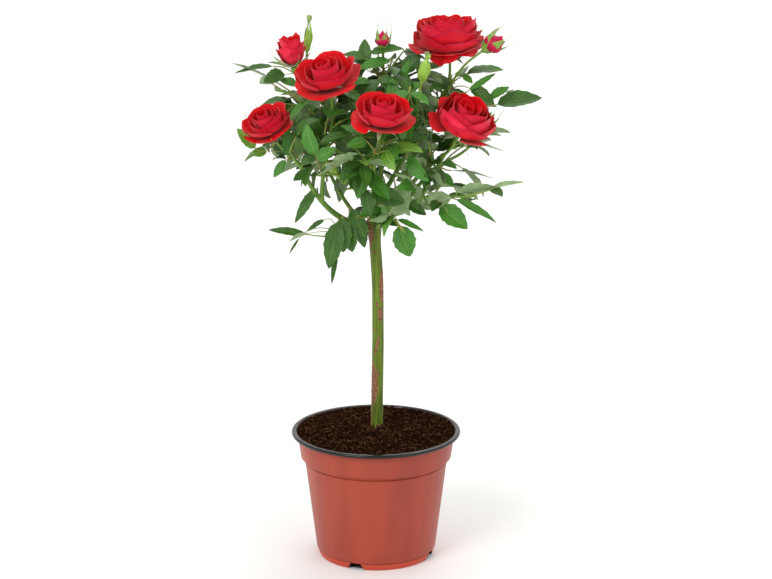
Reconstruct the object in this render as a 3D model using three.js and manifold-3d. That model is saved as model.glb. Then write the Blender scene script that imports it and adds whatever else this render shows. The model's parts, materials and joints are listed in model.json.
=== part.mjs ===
// A rose bush in its pot: a dwarf rose trained as a standard on one bare stem,
// in a thin-walled nursery pot of moulded plastic that is filled with dark peat.
// Units are millimetres and +Z is up. The origin is the middle of the pot's flat
// underside. The front of the plant faces -Y, and its left is -X.
// Limbs meet with a small gap: a bough is cut clear of the trunk, a fork is cut clear
// of its parent bough, and a leafy stem starts just past its bough's tip.

import * as THREE from 'three';
import { mergeVertices } from 'three/addons/utils/BufferGeometryUtils.js';
import Module from 'manifold-3d';

const wasm = await Module();
wasm.setup();

// Gap kept between two pieces that touch on the real plant
const CLEAR = 0.3;
// and between two cut ends, which aren't quite parallel
const END_GAP = 0.55;

// Pot: rim, collar, step, body and foot band, from the top down
const POT_SEGMENTS = 32;
const POT_HEIGHT = 99.3;
const RIM_RADIUS = 65;
const RIM_WIDTH = 4;
const RIM_DEPTH = 2.8;
const RIM_ROUND = 0.6;
const COLLAR_TOP_RADIUS = 60.2;
const COLLAR_FOOT_RADIUS = 58;
const COLLAR_FOOT_Z = 79;
const BODY_TOP_RADIUS = 54.8;
const BODY_TOP_Z = 76;
const BODY_FOOT_RADIUS = 46;
const BODY_FOOT_Z = 5.8;
const BAND_TOP_RADIUS = 45.3;
const BAND_TOP_Z = 5;
const FOOT_RADIUS = 44;
const WALL = 0.9;
const FLOOR = 1.2;

// Four drain notches through the foot of the wall
const NOTCH_COUNT = 4;
const NOTCH_FIRST_DEG = 249.7;
const NOTCH_FOOT_WIDTH = 15;
const NOTCH_TOP_WIDTH = 8;
const NOTCH_HEIGHT = 5;
const NOTCH_INNER_RADIUS = 40;
const NOTCH_OUTER_RADIUS = 50;
const NOTCH_BELOW = 1;

// Peat: it fills the pot, lies lower at its edge and is heaped to a small flat at the stem
const PEAT_EDGE_Z = 97.7;
const PEAT_TOP_Z = 99.3;
const PEAT_FLAT_RADIUS = 7;
const PEAT_TILT = 1.4;
const PEAT_TILT_DEG = 45;
const PEAT_SLOPE_POWER = 1.2;
const PEAT_LUMP = 0.5;
const PEAT_LUMP_TURNS = [0.33, 0.29];
const PEAT_LUMP_SHIFT = [1, -0.6];
const PEAT_WALL_GAP = 0.42;
const PEAT_RINGS = [44, 32, 20, 12, PEAT_FLAT_RADIUS];

// Trunk: from its flat cut on the peat to the graft that carries the head
const TRUNK_SIDES = 10;
const TRUNK_STEPS = 14;
const TRUNK_FOOT_Z = PEAT_TOP_Z + CLEAR;
const TRUNK_TOP_Z = 268;
const TRUNK_FOOT_RADIUS = 4.5;
const TRUNK_TOP_RADIUS = 4.2;
const FLARE = 0.4;
const FLARE_HEIGHT = 7;
const GRAFT_Z = 259;
const GRAFT_SWELL = 1.4;
const GRAFT_HALF_HEIGHT = 8;
const TOP_CUT = 0.55;
const TOP_CUT_HEIGHT = 4;
const RINGS_AT_ENDS = 0.65;
const TRUNK_LEAN = [
  [0.6, 0, TRUNK_FOOT_Z],
  [1.6, 0, 182],
  [0.9, 0, 225],
  [-2.1, 0, TRUNK_TOP_Z],
];

// Limbs other than the trunk. An elbow is how far out and up a bough's bend lies, as
// shares of its way, and how much of that its own bend moves it. A reach is how far a
// stem goes straight on at each end, as a share of its length.
const ELBOW = 0.5;
const ELBOW_OUT = 0.15;
const ELBOW_UP = 0.42;
const STEM_REACH = 0.38;
const BOUGH_SIDES = 5;
const BOUGH_STEPS = 5;
const STEM_SIDES = 5;
const STEM_STEPS = 5;
const STEM_TIP_RADIUS = 0.95;
const TWIG_SIDES = 3;
const TWIG_STEPS = 2;
const TWIG_RADIUS = 1;
const TWIG_TIP_RADIUS = 0.7;

// Every shoot is a bare bough that goes on as the stem of one mass of leaves.
// from: trunk, or the bough that it forks from, and how far up that it starts.
// tip: where the bough ends and its mass begins. bend: 1 goes out first and then up,
// -1 goes up first. head: where a stem ends that carries no flower.
const SHOOTS = [
  { name: 'left', from: 'trunk', at: 259, tip: [-53.7, -20, 306.1], bend: 1, base: 2.5, end: 1.6 },
  { name: 'right', from: 'trunk', at: 262, tip: [31, -22.5, 302], bend: 0.1, base: 2.2, end: 1.6 },
  { name: 'front', from: 'trunk', at: 263, tip: [-1.5, -40, 308], bend: 0.1, base: 1.8, end: 1.4 },
  { name: 'back', from: 'trunk', at: 260, tip: [-2, 36, 305], bend: 0.2, base: 2, end: 1.4 },
  { name: 'top', from: 'trunk', at: 262, tip: [7, 1, 322], bend: 0, base: 2.2, end: 1.5 },
  { name: 'low_left', from: 'trunk', at: 253, tip: [-20.7, -15, 262.4], bend: -1, base: 1.4, end: 1.2,
    head: [-30, -25, 250] },
  { name: 'low_front', from: 'trunk', at: 254, tip: [8.6, -24, 272], bend: -0.6, base: 1.4, end: 1.2,
    head: [22, -40, 264] },
  { name: 'back_low', from: 'trunk', at: 252, tip: [7, 24, 268], bend: -0.5, base: 1.4, end: 1.2,
    head: [20, 60, 270] },
  { name: 'side_left', from: 'trunk', at: 255, tip: [-33, 17, 293], bend: 0.5, base: 1.8, end: 1.3 },
  { name: 'side_right', from: 'trunk', at: 256, tip: [35, 13, 292], bend: 0.4, base: 1.8, end: 1.3 },
  { name: 'left_fork', from: 'left', at: 0.68, tip: [-38, -25, 311], bend: -0.4, base: 1.7, end: 1.4 },
  { name: 'mid_left', from: 'front', at: 0.3, tip: [-16, -26, 294], bend: 0.2, base: 1.3, end: 1.1,
    head: [-17, -52, 324] },
  { name: 'right_low', from: 'right', at: 0.3, tip: [29, -25, 284], bend: 0.6, base: 1.4, end: 1.2,
    head: [74, -34, 290] },
  { name: 'front_right', from: 'right', at: 0.66, tip: [27, -29, 315], bend: -0.6, base: 1.4, end: 1.2 },
  { name: 'top_right', from: 'top', at: 0.25, tip: [23, 5, 316], bend: 0.2, base: 2, end: 1.5 },
  { name: 'top_left', from: 'top', at: 0.2, tip: [-25, 4, 316], bend: 0.2, base: 1.8, end: 1.4 },
  { name: 'top_back', from: 'top', at: 0.5, tip: [-8, 23, 329], bend: 0.2, base: 1.5, end: 1.2 },
  { name: 'back_left', from: 'back', at: 0.3, tip: [-24, 38, 302], bend: 0.3, base: 1.5, end: 1.2 },
  { name: 'back_right', from: 'back', at: 0.4, tip: [22, 40, 303], bend: 0.3, base: 1.5, end: 1.2 },
];

// Flowers: the middle of each, the way it faces, its width, and the shoot that bears it.
// A flower that gives no "at" ends its shoot's stem, and the others end a side twig
// that leaves the stem there.
const FLOWERS = [
  { name: 'rose_front_a', kind: 'open', shoot: 'left_fork', at: null, middle: [-36.6, -52, 386],
    face: [-0.2, -0.36, 0.91], width: 45 },
  { name: 'rose_front_b', kind: 'open', shoot: 'left', at: null, middle: [-81, -34, 347.4],
    face: [-0.36, -0.42, 0.83], width: 36 },
  { name: 'rose_front_c', kind: 'open', shoot: 'front', at: null, middle: [5.4, -78, 363],
    face: [0.08, -0.34, 0.94], width: 43 },
  { name: 'rose_top_d', kind: 'open', shoot: 'top_right', at: null, middle: [53.6, -4, 405.4],
    face: [-0.06, -0.1, 0.99], width: 50 },
  { name: 'rose_front_e', kind: 'open', shoot: 'right', at: null, middle: [66, -52, 354],
    face: [0.3, -0.44, 0.85], width: 50 },
  { name: 'rose_back_f', kind: 'open', shoot: 'back', at: null, middle: [2, 74, 338],
    face: [0.02, 0.64, 0.77], width: 42 },
  { name: 'rose_back_g', kind: 'open', shoot: 'back_left', at: null, middle: [-79, 46, 331],
    face: [-0.5, 0.42, 0.76], width: 36 },
  { name: 'rose_back_h', kind: 'open', shoot: 'back_right', at: null, middle: [69, 62, 332],
    face: [0.4, 0.52, 0.76], width: 44 },
  { name: 'rose_back_i', kind: 'open', shoot: 'top_back', at: null, middle: [-36, 50, 364],
    face: [-0.2, 0.45, 0.87], width: 42 },
  { name: 'rose_half_open', kind: 'half', shoot: 'top_left', at: null, middle: [-61.8, -14, 395],
    face: [-0.16, -0.15, 0.97], width: 20 },
  { name: 'bud_top', kind: 'bud', shoot: 'top', at: null, middle: [5.5, -4, 401.2],
    face: [0, -0.1, 1], width: 11 },
  { name: 'bud_right_red', kind: 'bud', shoot: 'top_right', at: 0.55, middle: [86, -22, 401.5],
    face: [0.78, -0.2, 0.6], width: 14 },
  { name: 'bud_front_right', kind: 'bud', shoot: 'front_right', at: null, middle: [35.3, -36, 382.6],
    face: [0.22, -0.1, 0.97], width: 10 },
  { name: 'bud_left_tall', kind: 'bud', shoot: 'top_left', at: 0.6, middle: [-50.5, 3, 398],
    face: [0.05, 0, 1], width: 9 },
  { name: 'bud_low', kind: 'bud', shoot: 'mid_left', at: 0.35, middle: [-30.6, -34, 308.9],
    face: [-0.55, -0.3, 0.8], width: 7 },
  { name: 'bud_side_left', kind: 'bud', shoot: 'side_left', at: null, middle: [-88, 20, 335],
    face: [-0.5, 0.1, 0.86], width: 11 },
  { name: 'bud_side_right', kind: 'bud', shoot: 'side_right', at: null, middle: [83, 30, 334],
    face: [0.5, 0.1, 0.86], width: 12 },
];
const STALK_LENGTH = 7;
const STALK_RADIUS = 1.1;
// How far below its middle a flower's foot is, and how far it spreads, as shares of its width
const FLOWER_DEPTH = { open: 0.31, half: 0.6, bud: 0.62 };
const FLOWER_SPREAD = { open: 0.5, half: 0.75, bud: 0.75 };
const FLOWER_SEGMENTS = 15;
const BUD_SEGMENTS = 8;
const SEPALS = 3;
const SEPAL_TURN = 2.1;
const SEPAL_ROOT = [0.55, 0.35];
const SEPAL_SPLAY = 0.4;
const SEPAL_HALF_WIDTH = 2;
const SHORTER_SEPAL = 0.75;
const SEPAL_LENGTH = { bud_left_tall: 17, bud_top: 9, rose_half_open: 19 };

// Outer leaves: the tips that draw the crown's outline, the shoot that each grows on,
// how far up its stem it leaves it, and how steeply it falls at its tip
const OUTER_LEAVES = [
  { shoot: 'top_right', at: 0.35, tip: [124.6, 4, 358.9], fall: 0.25 },
  { shoot: 'top_right', at: 0.7, tip: [96, 12, 379.1], fall: 0.2 },
  { shoot: 'top', at: 0.45, tip: [25, 8, 389], fall: 0.1 },
  { shoot: 'right', at: 0.3, tip: [96.5, -30, 323.9], fall: 0.3 },
  { shoot: 'right', at: 0.15, tip: [89, -20, 306], fall: 0.2 },
  { shoot: 'right_low', at: 0.9, tip: [108.3, -34, 302.2], fall: 0 },
  { shoot: 'right_low', at: 0.5, tip: [89.6, -34, 271.4], fall: 0.1 },
  { shoot: 'right_low', at: 0.3, tip: [64, -52, 266], fall: 0.2 },
  { shoot: 'low_front', at: 0.2, tip: [26.2, -34, 243.3], fall: 1.4 },
  { shoot: 'low_front', at: 0.9, tip: [42, -44, 266], fall: 0.4 },
  { shoot: 'low_left', at: 0.3, tip: [-31.8, -30, 222.3], fall: 1.6 },
  { shoot: 'low_left', at: 0.5, tip: [-81.6, -22, 263.3], fall: 0.1 },
  { shoot: 'left', at: 0.2, tip: [-66, -27, 272], fall: 0.9 },
  { shoot: 'left', at: 0.08, tip: [-87, -36, 317], fall: 0.5 },
  { shoot: 'top_left', at: 0.6, tip: [-105.7, 2, 386], fall: 0 },
  { shoot: 'top_left', at: 0.35, tip: [-90, 14, 356], fall: 0.2 },
  { shoot: 'top', at: 0.7, tip: [-13, 8, 390.2], fall: 0.2 },
  { shoot: 'side_right', at: 0.4, tip: [106, 26, 309], fall: 0.4 },
  { shoot: 'side_right', at: 0.1, tip: [84, 30, 280], fall: 0.6 },
  { shoot: 'side_left', at: 0.4, tip: [-100, 22, 309], fall: 0.4 },
  { shoot: 'side_left', at: 0.1, tip: [-78, 30, 278], fall: 0.6 },
  { shoot: 'back_left', at: 0.3, tip: [-70, 66, 300], fall: 0.5 },
  { shoot: 'back', at: 0.3, tip: [-30, 86, 306], fall: 0.5 },
  { shoot: 'back', at: 0.6, tip: [36, 92, 306], fall: 0.3 },
  { shoot: 'back_right', at: 0.3, tip: [72, 68, 300], fall: 0.5 },
  { shoot: 'back_low', at: 0.6, tip: [4, 72, 244], fall: 1.2 },
  { shoot: 'back_low', at: 0.35, tip: [52, 64, 262], fall: 0.1 },
  { shoot: 'back_low', at: 0.15, tip: [-28, 46, 258], fall: 0.1 },
];

// Leaves: each is a stalk with one leaflet at its end and others in pairs behind it
const LEAF_THICK = 0.55;
const LEAF_STALK = 23;
const LEAF_STALK_WIDTH = 1.5;
const LEAST_STALK = 3;
const STALK_BEND_STEP = 16;
const LEAFLET = 29;
const LEAFLET_WIDTH = 0.6;
const LEAFLET_BROADEST = 0.44;
const LEAFLET_ROOT = 1.4;
const LEAFLET_CUP = 0.1;
const LEAF_OUT = 0.85;
const LEAF_ELBOW = 0.55;
const LEAF_SAG = 0.16;
const FACE_OUTWARD = 0.5;
const FACE_TURN = 0.9;
const PAIR_BACK = [7, 19];
const PAIR_SIZE = [0.86, 0.7];
const PAIR_ANGLE = 1.15;
const SECOND_PAIR_CHANCE = 0.25;
const SCALE_LEAST = 0.85;
const SCALE_SPREAD = 0.3;
const NODE_SPACING = 11.5;
const FIRST_NODE = 4;
const GOLDEN_ANGLE = Math.PI * (3 - Math.sqrt(5));
const TURNS_FROM = [0.3, 0.2, 1];
const MOST_NODES = 12;
const OUTER_SEED = 5000;
const OUTER_SCALES = [1, 0.85, 0.7];
const OUTER_TURNS = [0, 0.6, -0.6, 1.2, -1.2];
const OUTER_PAIRS = 2;
const OUTER_ELBOW = 0.42;
const FREE_FROM = 4.5;
const TWIG_LEAVES = [0.55, 0.97];
const TWIG_EVERY = 2;
const TWIG_LENGTH = [19.2, 31.2];
const TWIG_FORWARD = 0.7;
const TWIG_RISE = 0.12;
const TWIG_SEEDS = [31, 38];
const TRIES = 12;
const TRY_TURN = 1.1;
const TRY_LEAN = [0.5, 0, 0.9];

// The space that leaves may use: the crown's rounded body, within reach of their own stem,
// no more than a share past the half-way surface to another stem, and clear of what grows
// there already
const CROWN_MIDDLE = [6, 2, 324];
const CROWN_RADII = [98, 92, 70];
const SPACE_SHARE = 30;
const LIMB_MARGIN = 2.6;
const FLOWER_MARGIN = 1;
const LEAF_APART = 4.4;
const SAMPLE_STEP = 5;

const COLOURS = {
  pot: 0xb3503f,
  peat: 0x3a2a22,
  bark: 0x6b8c35,
  shoot: 0x86a845,
  leaf: 0x3f7a34,
  petal: 0xd4081a,
  bud: 0x8fae55,
};

const material = (colour, roughness) =>
  new THREE.MeshStandardMaterial({ color: colour, roughness, metalness: 0 });
const MATERIALS = {
  pot: material(COLOURS.pot, 0.45),
  peat: material(COLOURS.peat, 0.95),
  bark: material(COLOURS.bark, 0.6),
  shoot: material(COLOURS.shoot, 0.5),
  leaf: material(COLOURS.leaf, 0.45),
  petal: material(COLOURS.petal, 0.55),
  bud: material(COLOURS.bud, 0.55),
};

const vec = (p) => new THREE.Vector3(p[0], p[1], p[2]);
const radians = THREE.MathUtils.degToRad;

// A fixed number from 0 to 1 for each pair of whole numbers, so every run grows the same plant
function chance(seed, step) {
  const wave = Math.sin(seed * 12.9898 + step * 78.233) * 43758.5453;
  return wave - Math.floor(wave);
}

// Solids and meshes

function solidFrom(geometry) {
  geometry.deleteAttribute('normal');
  geometry.deleteAttribute('uv');
  const merged = mergeVertices(geometry, 1e-4);
  const index = Array.from(merged.index.array);
  const kept = [];
  for (let i = 0; i < index.length; i += 3) {
    const [a, b, c] = index.slice(i, i + 3);
    if (a !== b && b !== c && c !== a) kept.push(a, b, c);
  }
  return new wasm.Manifold(new wasm.Mesh({
    numProp: 3,
    vertProperties: new Float32Array(merged.attributes.position.array),
    triVerts: new Uint32Array(kept),
  }));
}

function meshFrom(name, solid, finish) {
  const pieces = solid.decompose().sort((a, b) => b.volume() - a.volume());
  const { vertProperties, triVerts } = pieces[0].getMesh();
  const geometry = new THREE.BufferGeometry();
  geometry.setAttribute('position', new THREE.BufferAttribute(new Float32Array(vertProperties), 3));
  geometry.setIndex(new THREE.BufferAttribute(new Uint32Array(triVerts), 1));
  const mesh = new THREE.Mesh(geometry, finish);
  mesh.name = name;
  return mesh;
}

// Move every vertex of a geometry by a function from its old place to its new one
function reshape(geometry, place) {
  const position = geometry.attributes.position;
  const point = new THREE.Vector3();
  for (let i = 0; i < position.count; i += 1) {
    point.fromBufferAttribute(position, i);
    const moved = place(point);
    position.setXYZ(i, moved.x, moved.y, moved.z);
  }
  return geometry;
}

// A round limb: a cylinder bent along a curve, with its radius a function of 0 to 1.
// A grown limb is larger all round and at its ends, and is used to cut others clear.
function limb(curve, radiusAt, sides, steps, grow = 0, spread = (t) => t) {
  const rings = [];
  const up = new THREE.Vector3(0, 1, 0);
  let across = null;
  for (let i = 0; i <= steps; i += 1) {
    const t = spread(i / steps);
    const along = curve.getTangent(t).normalize();
    if (across === null) across = new THREE.Vector3().crossVectors(along, up);
    across.addScaledVector(along, -across.dot(along)).normalize();
    const longer = grow * ((i === steps) - (i === 0));
    rings.push({
      radius: radiusAt(t) + grow / Math.cos(Math.PI / sides),
      centre: curve.getPoint(t).addScaledVector(along, longer),
      across: across.clone(),
      side: along.clone().cross(across),
    });
  }
  const geometry = new THREE.CylinderGeometry(1, 1, 1, sides, steps);
  return reshape(geometry, (p) => {
    const ring = rings[Math.round((p.y + 0.5) * steps)];
    return ring.centre.clone().addScaledVector(ring.side, p.x * ring.radius)
      .addScaledVector(ring.across, p.z * ring.radius);
  });
}

const taper = (from, to) => (t) => from + (to - from) * t;

// A curve as the straight stretches that a limb with so many steps really has
class Stepped extends THREE.Curve {
  constructor(curve, steps) {
    super();
    this.points = curve.getPoints(steps);
  }

  getPoint(t, target = new THREE.Vector3()) {
    const last = this.points.length - 1;
    const run = THREE.MathUtils.clamp(t, 0, 1) * last;
    const step = Math.min(Math.floor(run), last - 1);
    return target.lerpVectors(this.points[step], this.points[step + 1], run - step);
  }
}

// The curve of a bough from its start to its tip: out first and then up, or the reverse
function boughCurve(start, tip, bend) {
  const way = tip.clone().sub(start);
  const outward = ELBOW + ELBOW_OUT * bend;
  const upward = ELBOW - ELBOW_UP * bend;
  const elbow = start.clone().add(new THREE.Vector3(way.x * outward, way.y * outward, way.z * upward));
  return new Stepped(new THREE.QuadraticBezierCurve3(start, elbow, tip), BOUGH_STEPS);
}

// The curve of a stem or twig that leaves one way and arrives another
function stemCurve(start, leaving, end, arriving, steps) {
  const reach = start.distanceTo(end) * STEM_REACH;
  return new Stepped(new THREE.CubicBezierCurve3(
    start,
    start.clone().addScaledVector(leaving, reach),
    end.clone().addScaledVector(arriving, -reach),
    end,
  ), steps);
}

// Pot

function makePot() {
  const wallAt = (radius) => radius - WALL;
  const profile = [
    [0, 0],
    [FOOT_RADIUS, 0],
    [BAND_TOP_RADIUS, BAND_TOP_Z],
    [BODY_FOOT_RADIUS, BODY_FOOT_Z],
    [BODY_TOP_RADIUS, BODY_TOP_Z],
    [COLLAR_FOOT_RADIUS, COLLAR_FOOT_Z],
    [COLLAR_TOP_RADIUS, POT_HEIGHT - RIM_DEPTH],
    [RIM_RADIUS - RIM_ROUND, POT_HEIGHT - RIM_DEPTH],
    [RIM_RADIUS, POT_HEIGHT - RIM_DEPTH / 2],
    [RIM_RADIUS - RIM_ROUND, POT_HEIGHT - RIM_ROUND],
    [RIM_RADIUS - RIM_WIDTH / 2, POT_HEIGHT],
    [RIM_RADIUS - RIM_WIDTH, POT_HEIGHT - RIM_ROUND],
    [wallAt(COLLAR_TOP_RADIUS), POT_HEIGHT - RIM_DEPTH],
    [wallAt(COLLAR_FOOT_RADIUS), COLLAR_FOOT_Z + WALL / 2],
    [wallAt(BODY_TOP_RADIUS), BODY_TOP_Z + WALL / 2],
    [wallAt(BAND_TOP_RADIUS), BAND_TOP_Z],
    [wallAt(FOOT_RADIUS), FLOOR],
    [0, FLOOR],
  ].map(([r, z]) => new THREE.Vector2(r, z));
  let pot = solidFrom(new THREE.LatheGeometry(profile, POT_SEGMENTS).rotateX(Math.PI / 2));
  const outline = new THREE.Shape([
    new THREE.Vector2(-NOTCH_FOOT_WIDTH / 2, -NOTCH_BELOW),
    new THREE.Vector2(NOTCH_FOOT_WIDTH / 2, -NOTCH_BELOW),
    new THREE.Vector2(NOTCH_TOP_WIDTH / 2, NOTCH_HEIGHT),
    new THREE.Vector2(-NOTCH_TOP_WIDTH / 2, NOTCH_HEIGHT),
  ]);
  for (let i = 0; i < NOTCH_COUNT; i += 1) {
    const notch = new THREE.ExtrudeGeometry(outline, {
      depth: NOTCH_OUTER_RADIUS - NOTCH_INNER_RADIUS,
      bevelEnabled: false,
    });
    notch.rotateX(Math.PI / 2);
    notch.translate(0, NOTCH_OUTER_RADIUS, 0);
    notch.rotateZ(radians(NOTCH_FIRST_DEG + (360 / NOTCH_COUNT) * i - 90));
    pot = pot.subtract(solidFrom(notch));
  }
  return pot;
}

// Peat

function peatHeight(x, y) {
  const edge = COLLAR_TOP_RADIUS - WALL - CLEAR;
  const out = Math.min(Math.hypot(x, y) / edge, 1);
  const flat = PEAT_FLAT_RADIUS / edge;
  const slope = THREE.MathUtils.smoothstep(out, flat, 1);
  const dome = PEAT_TOP_Z - (PEAT_TOP_Z - PEAT_EDGE_Z) * slope ** PEAT_SLOPE_POWER;
  const tilt = (PEAT_TILT * slope * (x * Math.cos(radians(PEAT_TILT_DEG))
    + y * Math.sin(radians(PEAT_TILT_DEG)))) / edge;
  const lumps = PEAT_LUMP * Math.min(slope * 4, 1)
    * Math.sin(x * PEAT_LUMP_TURNS[0] + PEAT_LUMP_SHIFT[0])
    * Math.cos(y * PEAT_LUMP_TURNS[1] + PEAT_LUMP_SHIFT[1]);
  return dome - tilt + lumps;
}

function makePeat() {
  const inside = (radius) => radius - WALL - PEAT_WALL_GAP;
  const profile = [
    [0, FLOOR + CLEAR],
    [NOTCH_INNER_RADIUS - CLEAR, FLOOR + CLEAR],
    [inside(BAND_TOP_RADIUS), BAND_TOP_Z + 2],
    [inside(BODY_TOP_RADIUS), BODY_TOP_Z + WALL / 2],
    [inside(COLLAR_FOOT_RADIUS), COLLAR_FOOT_Z + WALL],
    [inside(COLLAR_TOP_RADIUS) - PEAT_WALL_GAP, PEAT_EDGE_Z],
    ...PEAT_RINGS.map((r) => [r, PEAT_TOP_Z]),
    [0, PEAT_TOP_Z],
  ].map(([r, z]) => new THREE.Vector2(r, z));
  const geometry = new THREE.LatheGeometry(profile, POT_SEGMENTS).rotateX(Math.PI / 2);
  return solidFrom(reshape(geometry, (p) => {
    const z = p.z > PEAT_EDGE_Z - 0.1 ? peatHeight(p.x, p.y) : p.z;
    return new THREE.Vector3(p.x, p.y, z);
  }));
}

// Trunk

const trunkCurve = new THREE.CatmullRomCurve3(TRUNK_LEAN.map(vec));

function trunkRadius(t) {
  const z = trunkCurve.getPoint(t).z;
  const shaft = TRUNK_FOOT_RADIUS + (TRUNK_TOP_RADIUS - TRUNK_FOOT_RADIUS) * t;
  const flare = FLARE * Math.exp(-(z - TRUNK_FOOT_Z) / FLARE_HEIGHT);
  const graft = GRAFT_SWELL * Math.exp(-(((z - GRAFT_Z) / GRAFT_HALF_HEIGHT) ** 2));
  const narrowing = THREE.MathUtils.smoothstep(z, TRUNK_TOP_Z - TOP_CUT_HEIGHT, TRUNK_TOP_Z);
  return (shaft + flare + graft) * (1 - (1 - TOP_CUT) * narrowing);
}

// Rings lie closer together at the foot and at the graft than along the shaft
const closerAtEnds = (t) => THREE.MathUtils.lerp(t, 0.5 - 0.5 * Math.cos(Math.PI * t), RINGS_AT_ENDS);

function makeTrunk(grow) {
  return solidFrom(reshape(
    limb(trunkCurve, trunkRadius, TRUNK_SIDES, TRUNK_STEPS, grow, closerAtEnds),
    (p) => new THREE.Vector3(p.x, p.y, Math.max(p.z, TRUNK_FOOT_Z)),
  ));
}

function trunkPointAt(z) {
  let t = 0.5;
  for (let i = 0; i < 30; i += 1) {
    t += (z - trunkCurve.getPoint(t).z) / (TRUNK_TOP_Z - TRUNK_FOOT_Z);
    t = THREE.MathUtils.clamp(t, 0, 1);
  }
  return trunkCurve.getPoint(t);
}

// Shoots: the curve of each bough, of each stem, and of each side twig that bears a flower

function flowerFoot(flower) {
  const face = vec(flower.face).normalize();
  const depth = FLOWER_DEPTH[flower.kind] * flower.width;
  return { face, foot: vec(flower.middle).addScaledVector(face, -depth) };
}

function planShoots() {
  const shoots = new Map();
  SHOOTS.forEach((entry, number) => {
    const parent = shoots.get(entry.from);
    const start = parent ? parent.bough.getPoint(entry.at) : trunkPointAt(entry.at);
    const bough = boughCurve(start, vec(entry.tip), entry.bend);
    const leaving = bough.getTangent(1).normalize();
    const root = vec(entry.tip).addScaledVector(leaving, END_GAP);
    const bearing = FLOWERS.find((f) => f.shoot === entry.name && f.at === null);
    let end = entry.head && vec(entry.head);
    let arriving = end && end.clone().sub(root).normalize();
    if (bearing) {
      const { face, foot } = flowerFoot(bearing);
      end = foot.addScaledVector(face, -STALK_LENGTH - END_GAP);
      arriving = face;
    }
    const stem = stemCurve(root, leaving, end, arriving, STEM_STEPS);
    const twigs = FLOWERS.filter((f) => f.shoot === entry.name && f.at !== null).map((flower) => {
      const { face, foot } = flowerFoot(flower);
      const from = stem.getPoint(flower.at);
      const to = foot.addScaledVector(face, -STALK_LENGTH - END_GAP);
      const way = to.clone().sub(from).normalize();
      return stemCurve(from, way, to, face, STEM_STEPS);
    });
    shoots.set(entry.name, { ...entry, number, bough, stem, twigs });
  });
  return shoots;
}

// Distance from a point to a curve that is held as a few straight stretches
function stretches(curve, count, radiusAt) {
  const points = curve.getPoints(count);
  return points.slice(1).map((end, i) => ({
    start: points[i],
    end,
    radius: Math.max(radiusAt(i / count), radiusAt((i + 1) / count)),
  }));
}

function distanceTo(point, stretch) {
  const way = stretch.end.clone().sub(stretch.start);
  const along = point.clone().sub(stretch.start).dot(way) / way.lengthSq();
  const t = THREE.MathUtils.clamp(along, 0, 1);
  return point.distanceTo(stretch.start.clone().addScaledVector(way, t));
}

const nearest = (point, list) => Math.min(...list.map((stretch) => distanceTo(point, stretch)));

const shoots = planShoots();
const stemStretches = new Map([...shoots.values()].map((shoot) => [
  shoot.name,
  [shoot.stem, ...shoot.twigs].flatMap((curve) => stretches(curve, STEM_STEPS, () => STEM_TIP_RADIUS)),
]));
const limbStretches = [
  ...stretches(trunkCurve, 8, () => TRUNK_FOOT_RADIUS + GRAFT_SWELL),
  ...[...shoots.values()].flatMap(({ bough, base, end }) => stretches(bough, BOUGH_STEPS, taper(base, end))),
];
const flowerBalls = FLOWERS.map((flower) => {
  const radius = FLOWER_SPREAD[flower.kind] * flower.width;
  return { middle: vec(flower.middle), radius, ...flowerFoot(flower) };
});

// Points that are taken by leaves and twigs, kept in cells as wide as leaves lie apart
const taken = new Map();
const cellOf = (point) => ['x', 'y', 'z'].map((axis) => Math.floor(point[axis] / LEAF_APART));

function take(points) {
  for (const point of points) {
    const key = cellOf(point).join();
    if (!taken.has(key)) taken.set(key, []);
    taken.get(key).push(point);
  }
}

function isTaken(point) {
  const [cx, cy, cz] = cellOf(point);
  for (let x = cx - 1; x <= cx + 1; x += 1) {
    for (let y = cy - 1; y <= cy + 1; y += 1) {
      for (let z = cz - 1; z <= cz + 1; z += 1) {
        const near = taken.get([x, y, z].join()) ?? [];
        if (near.some((other) => point.distanceTo(other) < LEAF_APART)) return true;
      }
    }
  }
  return false;
}

// A point is free for a shoot's leaves where nothing else is: inside the crown and the
// shoot's share of it, and clear of trunk, boughs, other stems, flowers and other leaves
function isFree(point, shoot, bounded) {
  if (isTaken(point)) return false;
  const own = nearest(point, stemStretches.get(shoot.name));
  for (const [name, list] of stemStretches) {
    if (name === shoot.name) continue;
    const other = nearest(point, list);
    if (other < STEM_TIP_RADIUS + LIMB_MARGIN || (bounded && own > other + SPACE_SHARE)) return false;
  }
  if (limbStretches.some((s) => distanceTo(point, s) < s.radius + LIMB_MARGIN)) return false;
  if (bounded) {
    const reach = ['x', 'y', 'z'].reduce(
      (sum, axis, i) => sum + ((point[axis] - CROWN_MIDDLE[i]) / CROWN_RADII[i]) ** 2, 0);
    if (reach > 1) return false;
  }
  return flowerBalls.every((ball) => {
    const stalk = { start: ball.foot.clone().addScaledVector(ball.face, -STALK_LENGTH), end: ball.foot };
    return point.distanceTo(ball.middle) > ball.radius + FLOWER_MARGIN
      && distanceTo(point, stalk) > STALK_RADIUS + LIMB_MARGIN;
  });
}

// Leaves

// Points spread over a leaflet, about as far apart as leaves are kept from each other
const BLADE_POINTS = [
  [0.15, 0], [0.35, 0], [0.55, 0], [0.75, 0], [0.9, 0], [1, 0],
  [0.28, 0.5], [0.28, -0.5], [0.5, 0.5], [0.5, -0.5], [0.72, 0.45], [0.72, -0.45],
  [0.6, 0.72], [0.6, -0.72],
  [LEAFLET_BROADEST, 1], [LEAFLET_BROADEST, -1],
];

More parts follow.
